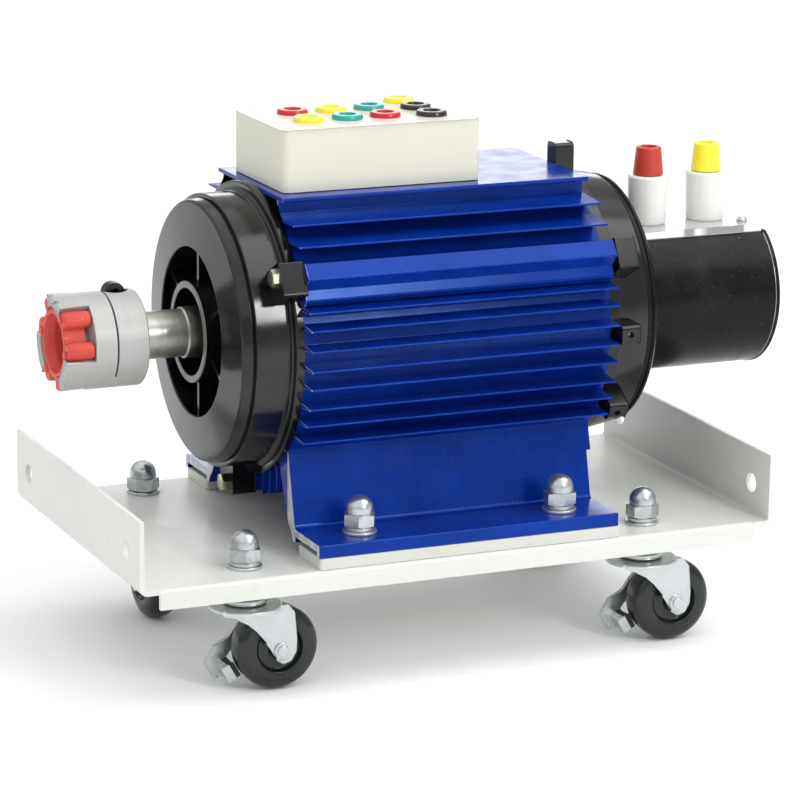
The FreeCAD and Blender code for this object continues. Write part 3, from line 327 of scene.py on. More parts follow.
def surface(name, col, rough=0.4, metal=0.0, var=0.08, vscale=30, rvar=0.07, rscale=80, bumps=(), coat=0.0, coat_rough=0.04,
            specks=None, dirt=None, stretch=None, ior=1.5, spec=0.5, sss=0.0, trans=0.0, tint=None, spec_tint=None):
    m = bpy.data.materials.new(name)
    m.use_nodes = True
    t = m.node_tree
    b = t.nodes["Principled BSDF"]
    vec = t.nodes.new("ShaderNodeTexCoord").outputs["Object"]
    dark = tuple(c * (1 - var) for c in col)
    light = tuple(min(1, c * (1 + var)) for c in (tint or col))
    f = noise(t, vec, vscale, 4, 0.6, 0.3, stretch)
    c = ramp(t, [(0.3, dark), (0.7, light)], f).outputs["Color"]
    if dirt:
        dcol, dscale, lo, hi, amt = dirt
        g = noise(t, vec, dscale, 6, 0.65, 0.6)
        c = blendc(t, maprange(t, g, lo, hi, 0.0, amt), c, dcol)
    r = maprange(t, noise(t, vec, rscale, 5, 0.6, 0.2, stretch), 0.3, 0.7, max(0.02, rough - rvar), min(1, rough + rvar))
    if specks:
        scol, sscale, thr, amt = specks
        g = noise(t, vec, sscale, 2, 0.5)
        k = maprange(t, g, thr, thr + 0.04, 0.0, amt)
        c = blendc(t, k, c, scol)
        ad = t.nodes.new("ShaderNodeMath")
        ad.operation = "MULTIPLY_ADD"
        t.links.new(k, ad.inputs[0])
        ad.inputs[1].default_value = 0.35
        t.links.new(r, ad.inputs[2])
        r = ad.outputs[0]
    t.links.new(c, b.inputs["Base Color"])
    t.links.new(r, b.inputs["Roughness"])
    b.inputs["Metallic"].default_value = metal
    b.inputs["IOR"].default_value = ior
    b.inputs["Specular IOR Level"].default_value = spec
    if spec_tint:
        b.inputs["Specular Tint"].default_value = (*spec_tint, 1)
    b.inputs["Coat Weight"].default_value = coat
    b.inputs["Coat Roughness"].default_value = coat_rough
    b.inputs["Transmission Weight"].default_value = trans
    if sss:
        b.inputs["Subsurface Weight"].default_value = sss
        b.inputs["Subsurface Radius"].default_value = (0.004, 0.002, 0.0015)
        b.inputs["Subsurface Scale"].default_value = 1.0
    prev = None
    for scale, dist_mm, kind in bumps:
        h = noise(t, vec, scale, 2 if kind != "fine" else 5, 0.5, 0.0, stretch if kind == "line" else None)
        bp = t.nodes.new("ShaderNodeBump")
        bp.inputs["Strength"].default_value = 1.0
        bp.inputs["Distance"].default_value = dist_mm * 0.001
        t.links.new(h, bp.inputs["Height"])
        if prev is not None:
            t.links.new(prev, bp.inputs["Normal"])
        prev = bp.outputs["Normal"]
    if prev is not None:
        t.links.new(prev, b.inputs["Normal"])
        if coat:
            t.links.new(prev, b.inputs["Coat Normal"])
    return m


M = {}
M["tray"] = surface("tray_paint", (0.69, 0.698, 0.652), 0.36, var=0.03, vscale=14, rvar=0.06, bumps=((420, 0.05, "n"), (1500, 0.012, "n")), spec=0.45,
                    dirt=((0.36, 0.35, 0.31), 22, 0.60, 0.80, 0.30))
M["cream"] = surface("cream_paint", (0.60, 0.60, 0.54), 0.38, var=0.04, vscale=30, bumps=((500, 0.04, "n"),))
M["blue"] = surface("blue_paint", (0.0010, 0.020, 0.215), 0.20, var=0.14, vscale=22, rvar=0.06, rscale=60, spec=0.45, spec_tint=(0.22, 0.42, 1.0),
                    bumps=((400, 0.016, "n"), (1100, 0.042, "n")), tint=(0.0015, 0.028, 0.26), specks=((0.10, 0.14, 0.42), 900, 0.70, 0.35))
M["raw_alu"] = surface("raw_aluminium", (0.60, 0.62, 0.61), 0.45, metal=0.35, var=0.10, vscale=120, rvar=0.1, bumps=((900, 0.02, "n"),), dirt=((0.10, 0.14, 0.34), 90, 0.48, 0.62, 0.5))
M["blue_worn"] = surface("blue_paint_worn_edge", (0.30, 0.36, 0.55), 0.35, metal=0.3, var=0.35, vscale=120, bumps=((900, 0.02, "n"),), dirt=((0.01, 0.04, 0.28), 160, 0.42, 0.60, 0.9))
M["gloss_black"] = surface("gloss_black_paint", (0.0050, 0.0050, 0.0055), 0.13, var=0.25, vscale=30, rvar=0.03, rscale=40, spec=0.45,
                           bumps=((450, 0.012, "n"), (1200, 0.024, "n")), specks=((0.17, 0.17, 0.16), 1100, 0.735, 0.5), dirt=((0.03, 0.03, 0.028), 30, 0.5, 0.75, 0.6))
M["satin_black"] = surface("satin_black_coat", (0.0060, 0.0060, 0.0065), 0.24, var=0.2, vscale=40, rvar=0.08, spec=0.14, bumps=((500, 0.03, "n"), (1600, 0.010, "n")),
                           specks=((0.26, 0.26, 0.24), 800, 0.725, 0.6), dirt=((0.04, 0.04, 0.036), 16, 0.52, 0.8, 0.5))
M["machined"] = surface("machined_iron_edge", (0.42, 0.41, 0.39), 0.30, metal=0.9, var=0.12, vscale=90, stretch=(8, 1, 1), rvar=0.08, bumps=((600, 0.01, "line"),))
M["boss_face"] = surface("boss_face_iron", (0.20, 0.20, 0.19), 0.42, metal=0.7, var=0.12, vscale=90, rvar=0.08, bumps=((500, 0.02, "n"),))
M["shaft"] = surface("ground_steel", (0.44, 0.43, 0.39), 0.33, metal=1.0, var=0.10, vscale=60, stretch=(6, 1, 1), rvar=0.06, rscale=90, bumps=((700, 0.006, "line"),),
                     dirt=((0.20, 0.185, 0.15), 60, 0.52, 0.72, 0.45))
M["hub"] = surface("satin_aluminium", (0.45, 0.455, 0.435), 0.46, metal=0.30, var=0.04, vscale=40, stretch=(9, 1, 1), rvar=0.05, bumps=((800, 0.008, "line"),))
M["spider"] = surface("coral_elastomer", (0.60, 0.052, 0.030), 0.46, var=0.08, vscale=120, bumps=((350, 0.12, "n"), (1200, 0.03, "n")), sss=0.15,
                      specks=((0.95, 0.45, 0.36), 700, 0.68, 0.5))
M["ivory"] = surface("ivory_plastic", (0.70, 0.68, 0.568), 0.36, var=0.02, vscale=20, bumps=((1300, 0.015, "n"),), sss=0.05)
M["white"] = surface("white_plastic", (0.77, 0.77, 0.735), 0.26, var=0.02, vscale=40, rvar=0.04, bumps=((1400, 0.004, "n"),), sss=0.08)
M["red"] = surface("red_plastic", (0.56, 0.010, 0.022), 0.30, var=0.08, vscale=140, bumps=((900, 0.01, "n"),), coat=0.2)
M["yellow"] = surface("yellow_plastic", (0.93, 0.80, 0.035), 0.30, var=0.05, vscale=140, bumps=((900, 0.01, "n"),), coat=0.2)
M["green"] = surface("teal_plastic", (0.030, 0.345, 0.290), 0.30, var=0.08, vscale=140, bumps=((900, 0.01, "n"),), coat=0.2)
M["black"] = surface("black_plastic", (0.014, 0.014, 0.015), 0.28, var=0.15, vscale=140, bumps=((900, 0.01, "n"),), coat=0.2)
M["cap_red"] = surface("cap_red_plastic", (0.50, 0.040, 0.022), 0.36, var=0.08, vscale=120, bumps=((600, 0.015, "n"),))
M["cap_yellow"] = surface("cap_yellow_plastic", (0.95, 0.82, 0.040), 0.36, var=0.05, vscale=120, bumps=((600, 0.015, "n"),))
M["zinc"] = surface("bright_zinc", (0.57, 0.60, 0.595), 0.30, metal=0.85, var=0.04, vscale=60, rvar=0.05, rscale=120, bumps=((1500, 0.003, "n"),),
                    dirt=((0.40, 0.42, 0.44), 70, 0.52, 0.75, 0.35))
M["nickel"] = surface("bright_nickel", (0.52, 0.545, 0.545), 0.30, metal=0.9, var=0.10, vscale=150, rvar=0.08, rscale=250, bumps=((900, 0.010, "n"),),
                      dirt=((0.40, 0.43, 0.45), 220, 0.45, 0.62, 0.5))
M["yellow_zinc"] = surface("yellow_zinc", (0.60, 0.55, 0.34), 0.26, metal=1.0, var=0.2, vscale=300, rvar=0.08, tint=(0.62, 0.62, 0.50))
M["dark_steel"] = surface("dark_steel", (0.022, 0.022, 0.022), 0.30, metal=0.6, var=0.2, vscale=200, bumps=((800, 0.01, "n"),))
M["tyre"] = surface("black_wheel", (0.010, 0.011, 0.012), 0.20, var=0.2, vscale=90, rvar=0.06, rscale=60, bumps=((900, 0.006, "n"),), specks=((0.20, 0.20, 0.19), 900, 0.745, 0.35),
                    dirt=((0.030, 0.031, 0.030), 60, 0.55, 0.8, 0.5))
M["rubber"] = surface("black_rubber", (0.02, 0.02, 0.02), 0.6, var=0.2, vscale=150, bumps=((900, 0.03, "n"),))
M["brass"] = surface("brass_contact", (0.60, 0.44, 0.20), 0.3, metal=1.0, var=0.1, vscale=200)
M["copper"] = surface("varnished_copper", (0.35, 0.13, 0.05), 0.35, var=0.2, vscale=200, stretch=(1, 6, 6), bumps=((300, 0.3, "line"),))
M["lamination"] = surface("laminations", (0.16, 0.16, 0.17), 0.45, metal=0.8, var=0.2, vscale=300, stretch=(10, 1, 1), bumps=((600, 0.05, "line"),))
M["cast_alu"] = surface("cast_aluminium", (0.55, 0.55, 0.55), 0.45, metal=0.9, var=0.1, vscale=120, bumps=((500, 0.05, "n"),))
M["chrome"] = surface("bearing_steel", (0.7, 0.7, 0.7), 0.12, metal=1.0, var=0.03, vscale=120)

g = bpy.data.materials.new("clear_acrylic")
g.use_nodes = True
t = g.node_tree
b = t.nodes["Principled BSDF"]
vec = t.nodes.new("ShaderNodeTexCoord").outputs["Object"]
t.links.new(ramp(t, [(0.3, (0.74, 0.76, 0.77)), (0.7, (0.82, 0.84, 0.85))], noise(t, vec, 40)).outputs["Color"], b.inputs["Base Color"])
t.links.new(maprange(t, noise(t, vec, 120, 5), 0.35, 0.7, 0.02, 0.09), b.inputs["Roughness"])
b.inputs["Transmission Weight"].default_value = 0.45
b.inputs["IOR"].default_value = 1.49
M["acrylic"] = g
# polished edge of the clear plate: painted highlight, long white bands in its base colour stand in for the light that
# gathers there
g = bpy.data.materials.new("acrylic_edge_painted_highlight")
g.use_nodes = True
t = g.node_tree
b = t.nodes["Principled BSDF"]
vec = t.nodes.new("ShaderNodeTexCoord").outputs["Object"]
# painted highlight: noise stretched along x picks white bands over a grey base
painted_highlight_band = noise(t, vec, 26, 2, 0.5, 0.0, (1.0, 0.02, 0.02))
t.links.new(ramp(t, [(0.45, (0.30, 0.31, 0.30)), (0.475, (0.96, 0.97, 0.95))], painted_highlight_band).outputs["Color"], b.inputs["Base Color"])
t.links.new(maprange(t, noise(t, vec, 150, 4), 0.35, 0.7, 0.05, 0.14), b.inputs["Roughness"])
M["acrylic_edge_painted_highlight"] = g

# inner nodes keep their shape and take their finish from here
for node, key in (("stator_core", "lamination"), ("stator_windings", "copper"), ("rotor_core", "lamination"), ("rotor_end_rings", "cast_alu"),
                  ("bearing_inner_rings", "chrome"), ("bearing_outer_rings", "chrome"), ("bearing_balls", "chrome"), ("tacho_stator", "lamination"),
                  ("tacho_rotor", "cast_alu"), ("box_floor", "ivory"), ("post_studs", "brass"), ("shaft_key", "shaft"), ("foot_bolts", "zinc"),
                  ("box_pads", "rubber")):
    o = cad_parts[node]
    o.data.materials.clear()
    o.data.materials.append(M[key])

# ------------------------------------------------------------------ tray, bars
bm = cad_copy("base_plate")


def long_edge(e):
    for v in e.verts:
        x = v.co.x * 1000 + OX
        if abs(x - 12.45) < 1.5 or abs(x - 387.55) < 1.5:
            return False
    return e.calc_length() > 0.006


soften(bm, 0.3, pick=long_edge)
piece("tray", bm, M["tray"], "trolley", ["base_plate"])
bm = cad_copy("spacer_bars", 0.7)
piece("bars", bm, M["cream"], "trolley", ["spacer_bars"])

# ------------------------------------------------------------------ stator housing
bm = cad_copy("stator_housing")
xf = (108.2 - OX) * 0.001
ends = [f for f in bm.faces if f.normal.x < -0.9 and abs(f.calc_center_median().x - xf) < 0.0003]
cutters_ = set(ends)
for f in ends:
    cutters_.update(f.edges)
    cutters_.update(f.verts)
bmesh.ops.bisect_plane(bm, geom=list(cutters_), dist=1e-6, plane_co=(0, 0, 0.1372), plane_no=(0, 0, 1))
for side in (-0.0600, 0.0600):
    cutters_ = set(f for f in bm.faces if f.normal.x < -0.9 and abs(f.calc_center_median().x - xf) < 0.0003 and f.calc_center_median().z < 0.1372)
    for f in list(cutters_):
        cutters_.update(f.edges)
        cutters_.update(f.verts)
    bmesh.ops.bisect_plane(bm, geom=list(cutters_), dist=1e-6, plane_co=(0, side, 0), plane_no=(0, 1, 0))
# the rolled strip under the ledge is one slanted face below an undercut
for v in bm.verts:
    zr, yr = v.co.z * 1000 - AXZ, abs(v.co.y * 1000)
    if 41.0 < zr < 43.6 and 84.0 < yr < 87.2:
        v.co.y, v.co.z = math.copysign(0.0855, v.co.y), (39.1 + AXZ) * 0.001
    elif 33.6 < zr <= 41.0 and 84.0 < yr < 88.4:
        zn = min(zr, 37.0)
        v.co.y, v.co.z = math.copysign((85.5 + 2.3 * (39.1 - zn) / 6.1) * 0.001, v.co.y), (zn + AXZ) * 0.001
    elif 32.0 < zr <= 33.6 and 87.0 < yr < 88.7:
        v.co.y = math.copysign((yr - 0.85) * 0.001, v.co.y)
bmesh.ops.remove_doubles(bm, verts=bm.verts, dist=2e-6)
soften(bm, 0.35)
bm.normal_update()
for f in bm.faces:
    c = f.calc_center_median()
    if f.normal.x < -0.6 and abs(c.x - xf) < 0.0006 and c.z < 0.1372 and abs(c.y) > 0.060:
        f.material_index = 1
    elif f.normal.x < -0.3 and abs(c.x - xf) < 0.0006 and c.z > 0.1372 and f.calc_area() < 4e-6:
        f.material_index = 2
piece("housing", bm, [M["blue"], M["raw_alu"], M["blue_worn"]], "trolley", ["stator_housing"])

# ------------------------------------------------------------------ drive-end shield
bm = bmesh.new()
prof = [(69.5, 25.6, 0.5), (69.5, 29.8, 0.7), (92.0, 30.6, 2.5), (92.0, 50.2, 2.5), (71.4, 49.6, 0.9), (74.4, 76.4, 2.2), (80.5, 77.6, 0.5), (80.6, 76.9), (81.6, 76.9),
        (81.7, 80.0, 0.7), (101.0, 80.0, 1.2), (102.2, 82.6, 1.0), (103.4, 82.6), (103.4, 86.0, 1.2), (108.2, 86.0), (108.2, 77.4), (114.0, 77.4), (114.0, 73.0), (100.0, 70.0),
        (98.0, 40.0), (98.0, 16.5), (88.0, 16.5, 0.5), (88.0, 26.0, 1.0)]
faces = lathe(bm, rounded(prof, 5), "X", n=180)
bm.normal_update()
for f in faces:
    c = f.calc_center_median()
    x = c.x * 1000 + OX
    r = math.hypot(c.y * 1000, c.z * 1000 - AXZ)
    if x < 70.4 and 25.3 < r < 30.2:
        f.material_index = 1
for k in range(6):
    q = math.radians(30 + 60 * k)
    c, s = math.cos(q), math.sin(q)
    lp = [(-c * r - s * w, s * r - c * w) for r, w in ((29.0, -0.9), (51.0, -0.9), (51.0, 0.9), (29.0, 0.9))]
    sub = bmesh.new()
    extr(sub, [lp], "YZ", 76.0, 93.0)
    soften(sub, 0.5)
    me = bpy.data.meshes.new("rib")
    sub.to_mesh(me)
    sub.free()
    bm.from_mesh(me)
    bpy.data.meshes.remove(me)


def add_sub(bm, sub, mi=None):
    if mi is not None:
        for f in sub.faces:
            f.material_index = mi
    me = bpy.data.meshes.new("sub")
    sub.to_mesh(me)
    sub.free()
    bm.from_mesh(me)
    bpy.data.meshes.remove(me)


def lug(bm, deg, x0, x1, r0, r1, w0, w1, rad, soft=0.7, hole=None):
    q = math.radians(deg)
    c, s = math.cos(q), math.sin(q)
    lp = rounded([(-c * r + s * w, s * r + c * w, f) for r, w, f in ((r0, w0, 0), (r1, w0, rad), (r1, w1, rad), (r0, w1, 0))], 4)
    sub = bmesh.new()
    extr(sub, [lp], "YZ", x0, x1)
    soften(sub, soft)
    if hole:
        # radial screw hole
        T = Matrix.Rotation(math.radians(90 - deg), 4, "X")
        cut = bmesh.new()
        lathe(cut, [(0, r1 - 7), (1.9, r1 - 7), (1.9, r1 + 1), (0, r1 + 1)], "Z", n=40, world=lambda x, y, z: W(*((T @ Vector((x, y, z))) + Vector((hole, 0, 0)))))
        sub = carve(sub, [temp(cut)])
    add_sub(bm, sub)


for a in (28.5, 151.5, -90.0):
    lug(bm, a, 93.5, 108.15, 77.5, 98.3, -9.9, 9.9, 1.0, 0.4)
piece("drive_shield", bm, [M["gloss_black"], M["boss_face"]], "trolley", ["drive_end_shield"])

# ------------------------------------------------------------------ rear shield, cover
bm = bmesh.new()
prof = [(295.5, 73.0), (295.5, 77.4), (301.5, 77.4), (301.6, 79.0), (303.0, 80.5, 0.5), (310.8, 80.5, 0.9), (311.3, 79.6), (330.6, 76.5, 0.8), (330.8, 60.0), (326.0, 30.0), (326.0, 14.0),
        (316.0, 14.0), (316.0, 31.0), (300.0, 31.0), (300.0, 37.5), (319.0, 37.5), (322.0, 62.0), (320.0, 70.0, 3)]
lathe(bm, rounded(prof, 5), "X", n=180)
for a, w0, w1 in ((28.5, -9.6, 8.8), (151.5, -8.8, 9.6), (-90.0, -8.8, 8.8)):
    lug(bm, a, 303.5, 316.4, 77.0, 98.3, w0, w1, 0.8, 0.4)
for a in (-0.8, -33.0, 180.8, 213.0):
    lug(bm, a, 304.0, 316.0, 77.0, 95.0, -5.4, 5.4, 2.5, 0.6, 310.0)
lug(bm, 90.0, 302.0, 313.8, 77.0, 97.0, -5.5, 5.5, 2.5, 0.6)
piece("rear_shield", bm, M["gloss_black"], "trolley", ["rear_end_shield"])
bm = bmesh.new()
for a in (-0.8, -33.0, 180.8, 213.0):
    T = Matrix.Rotation(math.radians(90 - a), 4, "X")
    set_world = lambda x, y, z: W(*((T @ Vector((x, y, z))) + Vector((310.0, 0, 0))))
    lathe(bm, rounded([(0, 88.1), (1.8, 88.1), (1.8, 91.4, 0.4), (0.9, 91.5), (0.8, 92.3, 0.3), (0, 92.3)], 3), "Z", n=32, world=set_world)
piece("set_screws", bm, M["nickel"], "trolley", ["cowl_screws"])
bm = bmesh.new()
lathe(bm, rounded([(330.8, 14.0), (330.8, 75.8, 0.4), (332.2, 75.8, 0.3), (332.2, 74.6), (334.6, 74.6), (334.6, 75.4, 0.3), (336.4, 75.4, 0.8), (338.0, 73.6, 0.8), (338.0, 14.0)], 4), "X", n=180)
piece("rear_disc", bm, M["satin_black"], "trolley", ["rear_cover"])

# ------------------------------------------------------------------ tacho tube, cap, pane, posts
FLAT = 38.6


def flat_circle(r, z, n=150):
    h = math.degrees(math.asin(z / r))
    return arc(0, 0, r, 180 - h, 360 + h, n)


bm = bmesh.new()
extr(bm, [flat_circle(46.8, FLAT)], "YZ", 338.0, 433.0)
soften(bm, 0.4)
for f in bm.faces:
    c = f.calc_center_median()
    if c.x > (432.55 - OX) * 0.001 and c.z < (FLAT - 0.5 + AXZ) * 0.001 and abs(f.normal.x) < 0.98:
        f.material_index = 1
piece("tacho_tube", bm, [M["satin_black"], M["machined"]], "trolley", ["tacho_housing"])
bm = bmesh.new()
extr(bm, [flat_circle(46.8, FLAT)], "YZ", 433.0, 435.1)
soften(bm, 0.5, segments=2)
piece("tacho_cap", bm, M["satin_black"], "trolley", ["tacho_end_cap"])
bm = bmesh.new()
extr(bm, [rounded([(338.2, -25.5, 1), (433, -25.5, 1), (433, 25.5, 1), (338.2, 25.5, 1)], 4)], "XY", FLAT + 0.05, FLAT + 4.8)
soften(bm, 0.35)
bm.normal_update()
for f in bm.faces:
    if abs(f.normal.z) < 0.3:
        f.material_index = 1
piece("pane", bm, [M["acrylic"], M["acrylic_edge_painted_highlight"]], "trolley", ["window_plate"])
PT = FLAT + 4.8
bm = bmesh.new()
for x, y in ((424.0, -16.0), (424.0, 16.0), (345.5, -16.0), (345.5, 16.0)):
    lathe(bm, rounded([(0, 0), (3.3, 0), (3.3, 1.4, 1.2), (1.6, 3.0, 1.5), (0, 3.0)], 4), "Z", (x, y, PT), 32)
piece("pane_screws", bm, M["nickel"], "trolley", ["window_screws"])
bm = bmesh.new()
for x in (367.2, 406.7):
    lathe(bm, rounded([(0, 0), (11.0, 0, 0.5), (11.6, 1.2, 0.8), (12.25, 29.0, 0.9), (11.4, 30.0, 0.5), (0, 30.0)], 5), "Z", (x, 0, PT), 72)
piece("post_sleeves", bm, M["white"], "trolley", ["post_bodies"])
for nm, x, key, sl in (("red_post_cap", 367.2, "cap_red", "orange_red_plastic"), ("yellow_post_cap", 406.7, "cap_yellow", "yellow_plastic")):
    bm = bmesh.new()
    lathe(bm, rounded([(3.3, 0), (9.25, 0, 0.6), (7.6, 17.0, 1.0), (4.9, 17.0, 0.7), (4.7, 13.4), (3.3, 13.4)], 5), "Z", (x, 0, PT + 30.3), 72)
    piece(nm.replace("post_", "") + "_shell", bm, M[key], "red_cap" if "red" in nm else "yellow_cap", [nm])

# ------------------------------------------------------------------ terminal box and sockets
Z1, Z2 = tz(204.9), tz(241.3)
bm = bmesh.new()
lp = rounded([(113.5, -39.3, 4.2), (237.2, -39.3, 4.2), (237.2, 39.3, 4.2), (113.5, 39.3, 4.2)], 8)
extr(bm, [lp], "XY", Z1, Z2)
top = Z2 * 0.001 + AXZ * 0.001
soften(bm, 1.3, segments=4, pick=lambda e: all(abs(v.co.z - top) < 1e-5 for v in e.verts))
piece("socket_box", bm, M["ivory"], "trolley", ["terminal_box"])
SOCK = {"red": [(139.5, 12.0), (186.7, -15.0)], "yellow": [(163.7, 12.0), (138.8, -15.0), (214.3, 29.0)],
        "green": [(187.9, 12.0), (162.9, -15.0)], "black": [(214.5, 4.5), (214.0, -20.0)]}
for col, spots in SOCK.items():
    bm = bmesh.new()
    for x, y in spots:
        lathe(bm, rounded([(2.9, -16), (6.0, -16), (6.0, 0), (9.1, 0), (9.1, 1.1, 0.4), (8.7, 2.9, 1.3), (4.9, 2.9, 0.7), (4.5, 0.6), (2.9, 0.6)], 5), "Z", (x, y, Z2), 64)
    piece("sockets_" + col + "_rings", bm, M[col], "trolley", ["sockets_" + col])
bm = bmesh.new()
for spots in SOCK.values():
    for x, y in spots:
        lathe(bm, rounded([(2.0, -16), (3.0, -16), (3.0, -1.2, 0.4), (2.0, -1.2, 0.4)], 3), "Z", (x, y, Z2), 32)
piece("contacts", bm, M["brass"], "trolley", ["socket_contacts"])
bm = bmesh.new()
lathe(bm, rounded([(0, -1.5), (2.1, -1.5), (2.1, 0.0), (1.9, 0.12, 0.1), (1.3, 0.10, 0.1), (0.9, -0.7), (0, -0.7)], 3), "Z", (122.0, 31.0, Z2), 28)
piece("lid_screw", bm, M["ivory"], "trolley", ["box_screw"])

# ------------------------------------------------------------------ shaft, coupling
bm = bmesh.new()
lathe(bm, rounded([(1.5, 0), (1.5, 14.0, 1.2), (64.9, 14.0), (65.9, 15.0, 0.2), (110.5, 15.0), (110.5, 18.0), (300, 18.0), (300, 15.0), (316, 15.0), (316, 12.0), (418, 12.0, 1), (418, 0)], 4), "X", n=128)
piece("shaft_body", bm, M["shaft"], "rotor", ["shaft"])

bm = bmesh.new()
lathe(bm, rounded([(4.3, 14.0), (4.3, 28.0, 0.3), (36.8, 28.0, 1.3), (36.8, 14.0, 0.5)], 4), "X", n=160)


def box_cut(x0, x1, y0, y1, z0, z1):
    c = bmesh.new()
    extr(c, [[(y0, z0), (y1, z0), (y1, z1), (y0, z1)]], "YZ", x0, x1)
    return temp(c)


pocket = bmesh.new()
lathe(pocket, [(0, 0), (8.2, 0), (8.2, 25), (0, 25)], "Z", (25.6, 3.8, 19.7), 64)
shank = bmesh.new()
lathe(shank, [(8.5, 0), (8.5, 3.1), (14.5, 3.1), (14.5, 0)], "Y", (25.3, 0, 26.1), 32)
bm = carve(bm, [box_cut(16.9, 18.1, -40, 40, -17.2, 40), temp(pocket), temp(shank)])
for c0 in (83.3, -37.0, 203.0):
    q = 180 - c0
    lp = rounded([(p[0], p[1]) for p in arc(0, 0, 27.95, q - 24.0, q + 24.0, 22)] + [(p[0], p[1]) for p in arc(0, 0, 21.4, q + 24.0, q - 24.0, 16)])
    sub = bmesh.new()
    extr(sub, [lp], "YZ", -12.4, 4.8)
    soften(sub, 0.9, segments=3, pick=lambda e: all(v.co.x < (-12.3 - OX) * 0.001 for v in e.verts) or abs(e.verts[0].co.x - e.verts[1].co.x) > 0.004)
    add_sub(bm, sub)
piece("hub", bm, M["hub"], "rotor", ["coupling_hub"])

bm = bmesh.new()
lathe(bm, rounded([(-12.3, 17.4, 0.9), (-12.3, 20.4, 0.9), (1.0, 20.4, 0.5), (1.0, 14.6, 0.5), (-6.5, 15.2, 3.0)], 4), "X", n=120)
for gc in (22.7, 142.7, -97.3):
    for s in (-23.0, 23.0):
        q = 180 - (gc + s)
        # each lobe is a rounded block, fullest half way along its height
        lp = rounded([(r_ * math.cos(math.radians(q + a_)), r_ * math.sin(math.radians(q + a_)), f_) for r_, a_, f_ in
                      ((19.8, -12.5, 0), (25.0, -12.4, 2.2), (27.1, -7.5, 3.0), (27.75, 0.0, 5.0), (27.1, 7.5, 3.0), (25.0, 12.4, 2.2), (19.8, 12.5, 0))], 5)
        sub = bmesh.new()
        n = len(lp)
        my = sum(p[0] for p in lp) / n
        mz = sum(p[1] for p in lp) / n
        rings = []
        for x, k in ((-12.3, 0.72), (-12.0, 0.83), (-11.3, 0.92), (-10.0, 0.97), (-7.5, 1.0), (-4.25, 1.01), (-1.0, 1.0), (1.3, 0.97), (2.7, 0.92), (3.5, 0.83), (3.8, 0.72)):
            rings.append([sub.verts.new(W(x, my + (p[0] - my) * k, mz + (p[1] - mz) * k)) for p in lp])
        for A, B in zip(rings, rings[1:]):
            for i in range(n):
                sub.faces.new([A[i], A[(i + 1) % n], B[(i + 1) % n], B[i]])
        sub.faces.new(rings[0][::-1])
        sub.faces.new(rings[-1])
        add_sub(bm, sub)
    for s in (-29.0, 29.0):
        q = math.radians(180 - (gc + s))
        lathe(bm, rounded([(-13.5, 0), (-13.5, 2.4, 0.8), (-12.0, 2.6), (-11.0, 2.6), (-11.0, 0)], 4), "X", (0, 21.6 * math.cos(q), 21.6 * math.sin(q)), 24)
piece("spider", bm, M["spider"], "rotor", ["coupling_spider"], angle=50)

bm = bmesh.new()
lathe(bm, rounded([(0.5, 0), (0.5, 6.3, 0.8), (8.0, 6.3, 0.2), (8.0, 3.0), (13.5, 3.0), (13.5, 0)], 4), "Y", (25.3, 0, 26.1), 48)
hexcut = bmesh.new()
extr(hexcut, [[(25.3 + 3.46 * math.cos(math.radians(60 * k + 12)), 26.1 + 3.46 * math.sin(math.radians(60 * k + 12))) for k in range(6)]], "XZ", -1.0, 5.0)
bm = carve(bm, [temp(hexcut)])
piece("clamp_bolt", bm, M["dark_steel"], "rotor", ["clamp_screw"])

# ------------------------------------------------------------------ fasteners
def hex_cone(af, h, chamfer_top=True, chamfer_bottom=True):
    """Hexagon prism with the 30-degree turned chamfer, base at z=0, in millimetres about the origin."""
    R = af / math.sqrt(3)
    local = lambda x, y, z: Vector((x, y, z))
    a = bmesh.new()
    extr(a, [[(R * math.cos(math.radians(60 * k)), R * math.sin(math.radians(60 * k))) for k in range(6)]], "XY", 0, h, world=local)
    ch = (R - af / 2 * 0.95) * math.tan(math.radians(30))
    c = bmesh.new()
    lathe(c, [(0, 0), (af / 2 * 0.95 if chamfer_bottom else R + 1, 0), (R + 0.01 if chamfer_bottom else R + 1, ch), (R + 0.01 if chamfer_top else R + 1, h - ch), (af / 2 * 0.95 if chamfer_top else R + 1, h), (0, h)],
          "Z", n=72, world=local)
    return carve(a, [temp(c)], "INTERSECT")


def stamp(bm, src, x, y, z, rz=0.0, mat=None):
    """Adds a millimetre-scaled local mesh at a place in the row frame."""
    me = bpy.data.meshes.new("stamp")
    src.to_mesh(me)
    T = Matrix.Translation(W(x, y, z)) @ (mat or Matrix.Rotation(rz, 4, "Z")) @ Matrix.Scale(0.001, 4)
    me.transform(T)
    bm.from_mesh(me)
    bpy.data.meshes.remove(me)


local = lambda x, y, z: Vector((x, y, z))
nut = hex_cone(17.0, 8.0)
dome = [(0, 7.4), (7.6, 7.4), (7.95, 8.2, 0.3), (7.95, 10.4)] + [(7.95 * math.cos(math.radians(q)), 10.4 + 7.6 * math.sin(math.radians(q))) for q in range(8, 90, 8)] + [(0, 18.0)]
lathe(nut, rounded(dome, 3), "Z", n=64, world=local)
SPOTS = [(72.0, -85.5, tz(0), 13), (72.0, 85.5, tz(0), 44), (325.1, -85.5, tz(0), 35), (325.1, 85.5, tz(0), 6),
         (140.6, -90.5, tz(14.8), 4), (140.6, 90.5, tz(14.8), 31), (267.7, -90.5, tz(14.8), 23), (267.7, 90.5, tz(14.8), 50)]
bm = bmesh.new()
for k, (x, y, z, rz) in enumerate(SPOTS):
    stamp(bm, nut, x, y, z + (2.0 if k == 1 else 4.2), math.radians(rz))
nut.free()
piece("acorn_nuts", bm, M["nickel"], "trolley", ["cap_nuts"])
bm = bmesh.new()
for x, y, z, rz in SPOTS:
    lathe(bm, rounded([(5.2, 0), (10.0, 0, 0.4), (10.0, 1.9, 0.6), (5.2, 1.9)], 3), "Z", (x, y, z), 56)
piece("flat_washers", bm, M["zinc"], "trolley", ["plate_washers"])
bm = bmesh.new()
